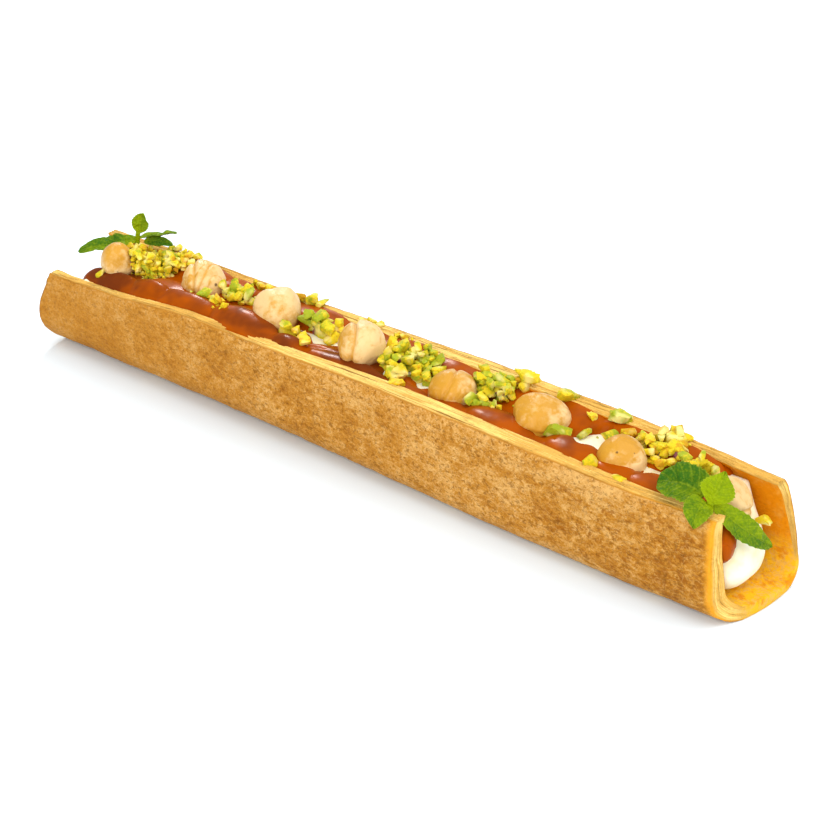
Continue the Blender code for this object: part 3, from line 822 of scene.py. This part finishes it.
def hazelnut_body(number, spec):
    """A kernel: a sphere drawn out to a blunt tip and flattened at its foot, uneven and faintly
    ribbed, with a few flattened cheeks, and grooves where a plane cuts it."""
    radius, direction, length, point, toast, middle, crazed, grooves = spec
    random = np.random.default_rng(100 + number)
    upright = ball(NUT_RINGS, NUT_SEGMENTS)
    up, round_ = upright[..., 2], np.arctan2(upright[..., 1], upright[..., 0])
    size = 1.02 + point * np.maximum(up, 0.0) ** 4 - 0.13 * smooth(0.70, 1.0, -up)
    size += 0.012 * np.cos(6 * round_ + number) * (1 - up**2)
    cheeks = upright @ unit(random.normal(size=(5, 3))).T
    size -= 0.85 * (np.maximum(cheeks - random.uniform(0.72, 0.84, 5), 0.0) ** 1.6).sum(axis=-1)
    size += 0.060 * fractal(upright + 3 * number, 0.9, 2, 60)
    body = tilted(upright * size[..., None] * (1, 1, length), direction) * radius
    facing = tilted(upright, direction)
    seam, dent, mark = 0 * up, 0 * up, 0 * up
    for normal, offset, depth, wide in grooves:
        line = bump(facing @ unit(normal) + 0.13 * noise(facing, 0.9, 80 + number), offset, wide)
        seam, dent = np.maximum(seam, line), dent + depth * line
    for which, where, wide in NUT_MARKS:
        if which == number:
            spot = bump(np.linalg.norm(facing - unit(where), axis=-1), 0, wide)
            mark, dent = np.maximum(mark, spot), dent + 0.02 * spot
    craze = bump(fractal(facing + 7 * number, 0.8, 3, 85), 0.0, 0.08) * crazed
    rough = 0.018 * fractal(facing + number, 0.40, 3, 90) - 0.034 * craze
    body *= (1 + rough - dent)[..., None]
    body -= (body.min(axis=(0, 1)) + body.max(axis=(0, 1))) / 2
    patch = facing @ unit(middle) + 0.45 * fractal((facing + 3 * number) * (1, 1, 0.5), 0.6, 3, 95)
    patch = toast * smooth(-0.4, 1.0, patch) + 0.60 * craze
    fields = {"toast": patch, "seam": seam, "mark": mark}
    fields = {name: with_middles(values) for name, values in fields.items()}
    return tube(body + box_middle(f"hazelnut_{number}")), fields


def mint_leaf(start, bend, tip, half_width, facing, dark, point, rumple):
    """A leaf: a midrib on a quadratic Bezier curve, blades whose half width is a stretched sine with
    a toothed edge, quilted between side veins that sweep towards the tip, and thinnest at its edge."""
    s = np.linspace(0.0, 1.0, LEAF_GRID[0])[:, None]
    start, bend, tip = np.array(start), np.array(bend), np.array(tip)
    rib = (1 - s) ** 2 * start + 2 * s * (1 - s) * bend + s**2 * tip
    along = unit(np.gradient(rib, axis=0))
    across = unit(np.cross(along, np.array(facing)))
    normal = np.cross(across, along)
    turn = turns(LEAF_GRID[1])
    w = np.cos(turn)
    saw = np.abs((s * 11.0 + 0.2) % 1.0 - 0.75) * 1.6 - 0.6
    teeth = 1 + 0.08 * np.abs(w) ** 6 * saw * np.sin(pi * s)
    half = half_width * (0.10 + 0.90 * np.sin(pi * s**0.85) ** point) * (1 - smooth(0.97, 1.0, s) * 0.6)
    vein_at = s * 6.5 - np.abs(w) * 1.5
    side_vein = bump(vein_at - np.round(vein_at), 0, 0.13) * smooth(0.0, 0.25, np.abs(w))
    mid_vein = bump(w, 0, 0.07)
    vein = np.maximum(side_vein, mid_vein)
    quilt = 0.34 * half_width / 4 * (np.abs(np.sin(pi * vein_at)) ** 0.6 - 0.5) * (1 - w**2) ** 0.5
    swing = np.sin(2 * pi * (s * 2.2 + 0.1 * half_width) + 2.0 * np.sign(w))
    ruffle = 0.30 * half_width / 4 * w**2 * swing
    lift = 0.22 * half * w**2 + quilt + ruffle - 0.25 * mid_vein
    thick = 0.22 * np.sin(turn)
    rings = rib[:, None] + across[:, None] * (half * w * teeth)[..., None]
    rings += normal[:, None] * (lift + thick)[..., None]
    rings += normal[:, None] * (rumple * fractal(rings, 2.6, 2, 19) * np.sin(pi * s))[..., None]
    points, faces = tube(rings)
    # Darkness of each leaf: its own darkness, one half of the blade darker as painted shade, and a paler
    # base
    depth = dark + 0.16 * smooth(-0.1, 0.1, w) - 0.08 - 0.40 * bump(s, 0.0, 0.22)
    fields = {
        "vein": np.append((vein + 0 * s).ravel(), [0, 0]),
        "dark": np.append(depth.ravel(), [dark, dark]),
        "edge": np.append((np.abs(w) ** 4 + 0 * s).ravel(), [1, 1]),
    }
    return (points, faces), fields


def mint_stem(foot, head):
    """A short square-ish stem: a four-lobed circle carried along a line that thickens at its foot."""
    s = np.linspace(0, 1, STEM_GRID[0])[:, None]
    line = np.array(foot) * (1 - s) + np.array(head) * s
    turn = turns(STEM_GRID[1])
    closing = np.sqrt(np.clip(1.02 - (2 * s - 1) ** 12, 0, 1))
    size = (0.95 - 0.2 * s) * (1 + 0.12 * np.cos(4 * turn)) * closing
    section = np.stack([np.cos(turn) * size, np.sin(turn) * size, 0 * size], axis=-1)
    points, faces = tube(line[:, None] + section)
    blank = np.zeros(len(points))
    return (points, faces), {"vein": blank + 0.4, "dark": blank + 0.1, "edge": blank}


def sprig_body(node):
    """A sprig: its stem and its leaves as one body."""
    made = [mint_stem(*STEMS[node])] + [mint_leaf(*leaf) for leaf in LEAVES[node]]
    fields = {key: np.concatenate([each[1][key] for each in made]) for key in made[0][1]}
    return joined([each[0] for each in made]), fields


def resting_height(x, y, sizes):
    """Heights under points: the higher of cream and caramel, or a wall's top beyond its inner
    face."""
    room = half_room(x, sizes)
    inward = room - np.abs(y)
    filling = fill_level(x) + 0.4
    front, back = wall_tops(x, sizes.height / MM)
    front_sauce, back_sauce = (caramel_top(x, inward, side, sizes)[0] for side in (-1, 1))
    height = np.maximum(filling, np.where(y < 0, front_sauce, back_sauce))
    return np.where(inward < 0, np.maximum(height, np.where(y < 0, front, back) + 0.3), height)


def pistachio_places(sizes, random):
    """Where each chunk lies: middle, size, share of green, and whether it keeps its skin. Each tries
    a few spots in its heap, off the hazelnuts, and settles in the lowest."""
    nuts = [[*box_middle(f"hazelnut_{k}")[:2], spec[0]] for k, spec in enumerate(HAZELNUTS, 1)]
    nuts = np.array(nuts)
    placed = np.empty((0, 6))
    for x0, y0, along, wide, count, size, green in HEAPS:
        for _ in range(count):
            chunk = size * (1 + (0.36 if count > 1 else 0.06) * random.uniform(-1, 1))
            way, reach = random.uniform(0, 2 * pi, TRIES), np.sqrt(random.uniform(0, 1, TRIES))
            spots = [x0 + along * reach * np.cos(way), y0 + wide * reach * np.sin(way)]
            spots = np.stack(spots, axis=-1)
            # Off the nearest hazelnut, and onto the pastry
            away = spots[:, None] - nuts[:, :2]
            gap = np.linalg.norm(away, axis=-1)
            need = nuts[:, 2] * 0.90 + chunk * 0.34
            near = (gap - need).argmin(axis=1)
            row = np.arange(TRIES)
            push = np.maximum(need[near] - gap[row, near], 0.0)
            spots += away[row, near] * (push / gap[row, near])[:, None]
            limit = TOPPING_REACH - 0.6 * chunk
            spots[:, 1] = np.clip(spots[:, 1], -limit, limit)
            # On the filling, or on the chunks that already lie there
            z = resting_height(spots[:, 0], spots[:, 1], sizes) + chunk * 0.20
            flat = np.linalg.norm(spots[:, None] - placed[None, :, :2], axis=-1)
            touch = (placed[:, 3] + chunk) * 0.40
            stacked = placed[:, 2] + 0.64 * np.sqrt(np.clip(touch**2 - flat**2, 0.0, None))
            z = np.maximum(z, np.where(flat < touch, stacked, -99.0).max(axis=1, initial=-99.0))
            best = z.argmin()
            skinned = float(random.uniform() < SKINNED)
            placed = np.vstack([placed, [*spots[best], z[best], chunk, green, skinned]])
    return np.vstack([placed, [[*each, 0.0] for each in CLINGING]])


def chunk_shape(random, ways):
    """One chopped piece: a ball of directions cut by the six sides of a skewed block, and by two
    more planes, which leaves flat faces with crisp edges."""
    axes = np.linalg.qr(random.normal(size=(3, 3)))[0]
    sides = unit(np.concatenate([axes, -axes]) + random.normal(0, 0.24, (6, 3)))
    half = np.array([random.uniform(*each) for each in CHUNK_HALVES])
    depths = np.concatenate([half, half]) * random.uniform(0.75, 1.1, 6)
    planes = np.concatenate([sides, unit(random.normal(size=(2, 3)))])
    depths = np.concatenate([depths, random.uniform(0.42, 0.8, 2)])
    towards = np.maximum(ways @ planes.T, 1e-3)
    shape = ways * np.minimum((depths / towards).min(axis=-1), 1.3)[..., None]
    thin = axes[2] * (1 if axes[2, 2] > 0 else -1)
    up = Vector((*random.normal(0, 0.38, 2), 1.0))
    lying = np.array(Vector(thin).rotation_difference(up).to_matrix())
    return shape @ lying.T, ways @ axes[0]


def pistachio_body(sizes):
    """Chopped pistachios and their crumbs: a cut block at each place, greener at one end."""
    random = np.random.default_rng(sizes.seed)
    places = pistachio_places(sizes, random)
    crumbs = places[random.integers(len(places) - len(CLINGING), size=CRUMBS)]
    crumbs[:, 0] += random.normal(0, CRUMB_SPREAD[0], CRUMBS)
    crumbs[:, 1] += random.normal(0, CRUMB_SPREAD[1], CRUMBS)
    crumbs[:, 3] = random.uniform(*CRUMB_SIZES, CRUMBS)
    crumbs[:, 2] = resting_height(crumbs[:, 0], crumbs[:, 1], sizes) + 0.2 * crumbs[:, 3]
    crumbs[:, 5] = 0
    ways = ball(CHUNK_RINGS, CHUNK_SEGMENTS)
    bodies, greens, skins = [], [], []
    for x, y, z, chunk, green, skinned in np.concatenate([places, crumbs]):
        shape, lengthwise = chunk_shape(random, ways)
        bodies.append(tube(shape * chunk * 0.62 + (x, y, z)))
        tone = green + random.normal(0, 0.25) + 0.25 * lengthwise
        greens.append(with_middles(tone))
        skins.append(with_middles(smooth(0.3, 0.6, lengthwise) * skinned))
    return joined(bodies), {"green": np.concatenate(greens), "skin": np.concatenate(skins)}


# ---- materials ----


class Finish:
    """A material made node by node; each call gives back an output socket."""

    def __init__(self, name, **values):
        self.material = bpy.data.materials.new(name)
        self.material.use_nodes = True
        self.tree = self.material.node_tree
        self.shader = self.tree.nodes["Principled BSDF"]
        for key, value in values.items():
            self.shader.inputs[key.replace("_", " ")].default_value = value
        self.place = self.node("ShaderNodeTexCoord").outputs["Object"]

    def node(self, kind, settings=None, inputs=None):
        """A node with its settings and inputs. A socket is linked, and any other value is set."""
        made = self.tree.nodes.new(kind)
        for key, value in (settings or {}).items():
            setattr(made, key, value)
        for key, value in (inputs or {}).items():
            if isinstance(value, bpy.types.NodeSocket):
                self.tree.links.new(value, made.inputs[key])
            else:
                made.inputs[key].default_value = value
        return made

    def field(self, name):
        """The piece's own values of this name."""
        return self.node("ShaderNodeAttribute", {"attribute_name": name}).outputs["Fac"]

    def stretched(self, scale, place=None):
        """A place, multiplied along each axis."""
        values = {"Vector": self.place if place is None else place, "Scale": scale}
        return self.node("ShaderNodeMapping", None, values).outputs[0]

    def speckle(self, scale, detail=3.0, roughness=0.6, stretch=(1, 1, 1), warp=0.0, place=None):
        """Noise of a scale per metre, drawn out along the axes."""
        values = {
            "Vector": self.stretched(stretch, place), "Scale": scale, "Detail": detail,
            "Roughness": roughness, "Distortion": warp,
        }
        return self.node("ShaderNodeTexNoise", None, values).outputs["Fac"]

    def spots(self, scale, stretch=(1, 1, 1)):
        """Distance to the nearest of scattered points."""
        values = {"Vector": self.stretched(stretch), "Scale": scale}
        return self.node("ShaderNodeTexVoronoi", None, values).outputs["Distance"]

    def math(self, kind, a, b=0.0):
        return self.node("ShaderNodeMath", {"operation": kind}, {0: a, 1: b}).outputs[0]

    def add(self, total, *others):
        """All of them added up."""
        for other in others:
            total = self.math("ADD", total, other)
        return total

    def times(self, a, b):
        return self.math("MULTIPLY", a, b)

    def span(self, value, low, high, to_low=0.0, to_high=1.0):
        """One range of values carried to another, with a level start and end."""
        values = {"Value": value, 1: low, 2: high, 3: to_low, 4: to_high}
        return self.node("ShaderNodeMapRange", {"interpolation_type": "SMOOTHSTEP"}, values).outputs[0]

    def contour(self, noise, outer, inner, strength):
        """Lines where noise crosses its middle: 0 from outer away, and full at inner."""
        away = self.math("ABSOLUTE", self.math("SUBTRACT", noise, 0.5))
        return self.span(away, outer, inner, 0.0, strength)

    def mix(self, share, a, b):
        """Colour a, going to b by a share."""
        made = self.node("ShaderNodeMix", {"data_type": "RGBA"}, {"Factor": share})
        for socket, value in ((made.inputs[6], a), (made.inputs[7], b)):
            if isinstance(value, bpy.types.NodeSocket):
                self.tree.links.new(value, socket)
            else:
                socket.default_value = (*value, 1.0)
        return made.outputs[2]

    def paint(self, socket):
        self.tree.links.new(socket, self.shader.inputs["Base Color"])

    def relief(self, height, distance, strength):
        """Fine relief: a height, and the distance in metres that 1 stands for."""
        values = {"Height": height, "Distance": distance, "Strength": strength}
        bumped = self.node("ShaderNodeBump", None, values).outputs[0]
        self.tree.links.new(bumped, self.shader.inputs["Normal"])


def crust_finish(colours):
    """Baked pastry: a mottled, flecked crust with pale curls that are painted highlights, streaked
    leaves on the cut edges whose gaps and cracks are darkened as painted shade, an orange inside and a
    golden, bubbled floor."""
    made = Finish("Baked_pastry", Roughness=0.62, Specular_IOR_Level=0.06)
    coarse, browned, glow = made.field("coarse"), made.field("browned"), made.field("glow")
    along, across, cut = made.field("course"), made.field("across"), made.field("cut")

    flecks = made.speckle(800, 6.0, 0.78, (0.75, 1, 1), 0.3)
    grain = made.speckle(1900, 4.0, 0.75)
    blots = made.speckle(300, 5.0, 0.72, (0.6, 1, 1), 0.6)
    mottle = made.span(flecks, 0.32, 0.68, -0.34, 0.46)
    mottle = made.add(mottle, made.span(grain, 0.3, 0.7, -0.26, 0.26))
    tone = made.add(
        made.field("toast"),
        made.span(made.speckle(95), 0.3, 0.7, -0.22, 0.22),
        made.times(mottle, coarse),
        made.times(made.span(blots, 0.36, 0.66, -0.34, 0.50), browned),
    )
    # Painted highlight: pale squiggles along the crust's curled blisters, which also raise its relief
    curl_highlights = made.contour(made.speckle(430, 2.0, 0.5, (0.7, 1, 1), 1.0), 0.045, 0.0, 0.38)
    scorches = made.span(made.speckle(520, 4.0, 0.7, (0.6, 1, 1), 0.8), 0.54, 0.63, 0.0, 0.75)
    pits = made.times(made.span(made.spots(420, (0.8, 1, 1)), 0.20, 0.06, 0.0, 0.55), coarse)
    marks = made.span(made.speckle(1050, 4.0, 0.75, (0.7, 1, 1), 0.5), 0.53, 0.61, 0.0, 0.58)
    pits = made.math("MAXIMUM", pits, made.times(marks, coarse))
    face = made.mix(made.span(tone, -0.35, 0.62), colours.crust_pale, colours.crust)
    face = made.mix(made.span(tone, 0.45, 1.30), face, colours.crust_brown)
    # Painted highlight: the curls turn pale on the browned crust
    face = made.mix(made.times(curl_highlights, browned), face, colours.crust_pale)
    face = made.mix(made.times(scorches, browned), face, colours.crust_brown)
    face = made.mix(pits, face, [c * 0.50 for c in colours.crust_brown])
    face = made.mix(made.times(glow, 0.85), face, colours.edge_gold)

    lines = made.node("ShaderNodeCombineXYZ", None, {"X": along, "Y": across}).outputs[0]
    streak = made.speckle(1.0, 3.0, 0.5, (0.07, 15.0, 1.0), place=lines)
    # Thin gap lines between the leaves, darkened below as painted shade
    gap = made.contour(made.speckle(1.0, 1.0, 0.5, (0.05, 9.0, 1.0), place=lines), 0.016, 0.003, 0.35)
    gap = made.times(gap, made.span(glow, 0.0, 0.7, 1.0, 0.3))
    leaves = made.add(
        made.span(streak, 0.30, 0.70, 0.0, 0.8),
        made.span(made.speckle(1300, 3.0, 0.65), 0.3, 0.7, -0.12, 0.12),
        made.times(made.field("ridge"), 0.25),
        made.times(glow, 0.30),
        made.span(browned, 0.35, 1.0, 0.24, -0.30),
    )
    rind = made.add(made.span(across, 0.20, 0.04, 0.0, 0.95), made.span(across, 0.90, 1.0, 0.0, 0.6))
    edge = made.mix(made.span(leaves, 0.30, 0.85), colours.layer, colours.layer_pale)
    # Painted shade darkens the gaps between the leaves
    edge = made.mix(gap, edge, colours.gap_and_crack_shade)
    edge = made.mix(rind, edge, made.mix(glow, colours.crust, colours.edge_gold))
    # Painted shade darkens the cracks
    edge = made.mix(made.span(made.field("crack"), 0.2, 0.8), edge, colours.gap_and_crack_shade)

    warm = made.speckle(300, 4.0, 0.65)
    inside = made.mix(made.span(warm, 0.45, 0.8, 0.0, 0.55), colours.inside, colours.layer)
    inside = made.mix(made.span(warm, 0.40, 0.15, 0.0, 0.6), inside, colours.crust_brown)
    bubbles = made.span(made.speckle(700, 4.0, 0.7), 0.42, 0.62)
    bubbled = made.mix(bubbles, colours.golden, colours.layer)
    bubbled = made.mix(made.span(warm, 0.50, 0.35, 0.0, 0.8), bubbled, colours.inside)
    inside = made.mix(made.field("golden"), inside, bubbled)

    made.paint(made.mix(cut, made.mix(made.field("inside"), face, inside), edge))
    bumps = made.add(
        made.speckle(950, 4.0, 0.65),
        made.times(made.spots(700), 0.5),
        made.times(flecks, 0.8),
        made.times(curl_highlights, made.times(browned, 0.8)),
    )
    made.relief(made.math("SUBTRACT", bumps, made.times(made.times(gap, cut), 1.5)), 0.0004, 0.8)
    return made.material


def cream_finish(colours):
    """Custard cream: ivory, warmer in patches, with a satin skin."""
    made = Finish("Custard_cream", Roughness=0.42, Specular_IOR_Level=0.3, Subsurface_Weight=0.25)
    made.shader.inputs["Subsurface Radius"].default_value = (1.0, 0.7, 0.4)
    made.shader.inputs["Subsurface Scale"].default_value = 0.002
    warm = [c * f for c, f in zip(colours.cream, (0.97, 0.90, 0.70))]
    made.paint(made.mix(made.span(made.speckle(160, 3.0), 0.40, 0.75), colours.cream, warm))
    made.relief(made.speckle(420, 3.0), 0.0002, 0.5)
    return made.material


def caramel_finish(colours):
    """Caramel sauce: orange where thin, brown where thick and darker where a hazelnut's shadow is
    painted on it, under a glossy skin.
    """
    made = Finish("Caramel_sauce", Roughness=0.25, Specular_IOR_Level=0.07)
    made.shader.inputs["Specular Tint"].default_value = (*CARAMEL_SHEEN, 1.0)
    depth = made.add(made.field("thick"), made.span(made.speckle(120, 2.0), 0.3, 0.7, -0.20, 0.25))
    made.paint(made.mix(made.span(depth, 0.10, 0.95), colours.caramel, colours.caramel_deep))
    made.relief(made.speckle(260, 2.0, 0.5), 0.0003, 0.35)
    return made.material


def nut_finish(colours):
    """Roasted hazelnut: pale kernel with toasted patches, seams and specks."""
    made = Finish("Roasted_hazelnut", Roughness=0.38, Specular_IOR_Level=0.30)
    grain = made.speckle(480, 4.0, 0.65)
    toast = made.add(made.field("toast"), made.span(grain, 0.32, 0.72, -0.20, 0.28))
    shade = made.mix(made.span(toast, 0.05, 0.80), colours.nut, colours.nut_toast)
    shade = made.mix(made.span(made.field("seam"), 0.35, 1.0, 0.0, 0.75), shade, colours.nut_toast)
    shade = made.mix(made.span(made.field("mark"), 0.4, 0.9, 0.0, 0.9), shade, MARK_COLOUR)
    made.paint(shade)
    made.relief(made.add(grain, made.speckle(1500, 2.0)), 0.00025, 0.5)
    return made.material


def pistachio_finish(colours):
    """Chopped pistachio: yellow heart, green rim, pale cuts and purple skin on a few."""
    made = Finish("Chopped_pistachio", Roughness=0.50, Specular_IOR_Level=0.14, Subsurface_Weight=0.12)
    made.shader.inputs["Subsurface Scale"].default_value = 0.001
    grain = made.speckle(900, 3.0, 0.6)
    green = made.add(made.field("green"), made.span(grain, 0.3, 0.7, -0.30, 0.30))
    shade = made.mix(made.span(green, 0.15, 0.85), colours.pistachio, colours.pistachio_green)
    shade = made.mix(made.span(green, -0.10, -0.45, 0.0, 0.8), shade, colours.pistachio_amber)
    pale = made.span(made.speckle(260, 1.0), 0.50, 0.72, 0.0, 0.8)
    shade = made.mix(pale, shade, colours.pistachio_pale)
    made.paint(made.mix(made.field("skin"), shade, SKIN_COLOUR))
    made.relief(made.speckle(1600, 3.0), 0.0003, 0.7)
    return made.material


def mint_finish(colours):
    """Mint: quilted leaves with paler veins and edges, young ones brighter, one half of each blade
    darker as painted shade.
    """
    made = Finish("Mint_leaf", Roughness=0.48, Specular_IOR_Level=0.06)
    mottle = made.span(made.speckle(420, 5.0, 0.75), 0.3, 0.7, -0.14, 0.14)
    cells = made.spots(1500)
    dark = made.add(made.field("dark"), mottle, made.span(cells, 0.15, 0.70, -0.09, 0.09))
    shade = made.mix(made.span(dark, 0.0, 1.0), colours.mint, colours.mint_dark)
    shade = made.mix(made.span(made.field("vein"), 0.3, 1.0, 0.0, 0.20), shade, VEIN_COLOUR)
    made.paint(made.mix(made.span(made.field("edge"), 0.7, 1.0, 0.0, 0.3), shade, VEIN_COLOUR))
    made.relief(made.math("SUBTRACT", made.speckle(1300), cells), 0.0003, 0.8)
    return made.material


# ---- operators ----


class PASTRY_OT_shell(Operator):
    """Make the layered crust"""

    bl_idname = "pastry.shell"
    bl_label = "Shell"

    def execute(self, context):
        body, fields = shell_body(context.scene.pastry_sizes)
        finish = crust_finish(context.scene.pastry_colours)
        make_piece("crust", body, finish, ("pastry_shell",), fields)
        return {"FINISHED"}


class PASTRY_OT_cream(Operator):
    """Make the cream that fills the shell"""

    bl_idname = "pastry.cream"
    bl_label = "Cream"

    def execute(self, context):
        finish = cream_finish(context.scene.pastry_colours)
        make_piece("custard", cream_body(context.scene.pastry_sizes), finish, ("cream",))
        return {"FINISHED"}


class PASTRY_OT_caramel(Operator):
    """Make the band of caramel along each wall"""

    bl_idname = "pastry.caramel"
    bl_label = "Caramel"

    def execute(self, context):
        sizes = context.scene.pastry_sizes
        finish = caramel_finish(context.scene.pastry_colours)
        for name, side, span in (("caramel_front", -1, FRONT_BAND), ("caramel_back", 1, BACK_BAND)):
            body, fields = caramel_body(side, span, sizes)
            make_piece(f"{name}_sauce", body, finish, (name,), fields)
        return {"FINISHED"}


class PASTRY_OT_hazelnuts(Operator):
    """Make the row of roasted hazelnuts"""

    bl_idname = "pastry.hazelnuts"
    bl_label = "Hazelnuts"

    def execute(self, context):
        finish = nut_finish(context.scene.pastry_colours)
        for number, spec in enumerate(HAZELNUTS, 1):
            body, fields = hazelnut_body(number, spec)
            make_piece(f"kernel_{number}", body, finish, (f"hazelnut_{number}",), fields)
        return {"FINISHED"}


class PASTRY_OT_mint(Operator):
    """Make a sprig of mint at each end"""

    bl_idname = "pastry.mint"
    bl_label = "Mint"

    def execute(self, context):
        finish = mint_finish(context.scene.pastry_colours)
        for node in LEAVES:
            body, fields = sprig_body(node)
            make_piece(f"{node}_leaves", body, finish, (node,), fields)
        return {"FINISHED"}


class PASTRY_OT_pistachios(Operator):
    """Scatter the chopped pistachios"""

    bl_idname = "pastry.pistachios"
    bl_label = "Pistachios"

    def execute(self, context):
        body, fields = pistachio_body(context.scene.pastry_sizes)
        finish = pistachio_finish(context.scene.pastry_colours)
        chopped = make_piece("pistachios", body, finish, (), fields)
        chopped.data.set_sharp_from_angle(angle=radians(CHUNK_CREASE))
        return {"FINISHED"}


class PASTRY_OT_stage(Operator):
    """Set the floor, the lights and the camera"""

    bl_idname = "pastry.stage"
    bl_label = "Stage"

    def execute(self, context):
        scene = context.scene
        scene.view_settings.view_transform = "Standard"
        mesh = bpy.data.meshes.new("floor")
        side = np.linspace(-FLOOR_HALF, FLOOR_HALF, FLOOR_POINTS)
        x, y = np.meshgrid(side, side)
        points = np.stack([x, y, 0 * x - FLOOR_DROP], axis=-1).reshape(-1, 3)
        index = np.arange(FLOOR_POINTS**2).reshape(FLOOR_POINTS, FLOOR_POINTS)
        mesh.from_pydata((points * MM).tolist(), [], quads(index).tolist())
        made = Finish("Pale_floor", Roughness=0.7, Specular_IOR_Level=0.2)
        made.paint(made.mix(made.speckle(6, 2.0), *FLOOR_COLOURS))
        mesh.materials.append(made.material)
        floor = bpy.data.objects.new("floor", mesh)
        scene.collection.objects.link(floor)

        world = bpy.data.worlds.new("Studio")
        scene.world = world
        world.use_nodes = True
        background = world.node_tree.nodes["Background"]
        background.inputs["Color"].default_value = (1.0, 1.0, 1.0, 1.0)
        background.inputs["Strength"].default_value = SKY_STRENGTH
        key = bpy.data.lights.new("Key", "SUN")
        key.energy, key.angle = KEY_POWER, radians(KEY_ANGLE)
        self.aim(scene, key, KEY_WAY, KEY_DISTANCE)
        for name, (way, power, size) in SOFT_LIGHTS.items():
            light = bpy.data.lights.new(name, "AREA")
            light.energy, light.size = power, size
            holder = self.aim(scene, light, way, SOFT_DISTANCE)
            holder.visible_glossy = name != "Overhead"

        camera = bpy.data.cameras.new("Camera")
        camera.lens, camera.sensor_width = CAMERA_LENS, CAMERA_SENSOR
        camera.clip_start, camera.clip_end = 0.01, 20.0
        a, e = radians(CAMERA_AZIMUTH), radians(CAMERA_ELEVATION)
        back = Vector((sin(a) * cos(e), -cos(a) * cos(e), sin(e)))
        stand = bpy.data.objects.new("Camera", camera)
        stand.location = (Vector(CAMERA_TARGET) + back * CAMERA_DISTANCE) * MM
        stand.rotation_euler = (-back).to_track_quat("-Z", "Y").to_euler()
        scene.collection.objects.link(stand)
        scene.camera = stand
        return {"FINISHED"}

    def aim(self, scene, light, way, distance):
        """Puts a light at a distance in metres towards way, looking at the origin."""
        towards = Vector(way).normalized()
        holder = bpy.data.objects.new(light.name, light)
        holder.location = towards * distance
        holder.rotation_euler = towards.to_track_quat("Z", "Y").to_euler()
        scene.collection.objects.link(holder)
        return holder


class PASTRY_PT_panel(Panel):
    bl_idname = "PASTRY_PT_panel"
    bl_label = "Pastry trough"
    bl_space_type = "VIEW_3D"
    bl_region_type = "UI"
    bl_category = "Pastry"

    def draw(self, context):
        for operator in OPERATORS:
            self.layout.operator(operator.bl_idname)
        for group in (context.scene.pastry_sizes, context.scene.pastry_colours):
            box = self.layout.box()
            for name in group.__annotations__:
                box.prop(group, name)


OPERATORS = (
    PASTRY_OT_shell,
    PASTRY_OT_cream,
    PASTRY_OT_caramel,
    PASTRY_OT_hazelnuts,
    PASTRY_OT_mint,
    PASTRY_OT_pistachios,
    PASTRY_OT_stage,
)
CLASSES = (PastrySizes, PastryColours, *OPERATORS, PASTRY_PT_panel)


def register():
    for each in CLASSES:
        bpy.utils.register_class(each)
    bpy.types.Scene.pastry_sizes = PointerProperty(type=PastrySizes)
    bpy.types.Scene.pastry_colours = PointerProperty(type=PastryColours)


def unregister():
    del bpy.types.Scene.pastry_colours
    del bpy.types.Scene.pastry_sizes
    for each in reversed(CLASSES):
        bpy.utils.unregister_class(each)


def main():
    register()
    for operator in OPERATORS:
        group, name = operator.bl_idname.split(".")
        getattr(getattr(bpy.ops, group), name)()
    bpy.context.view_layer.update()


if __name__ == "__main__":
    main()
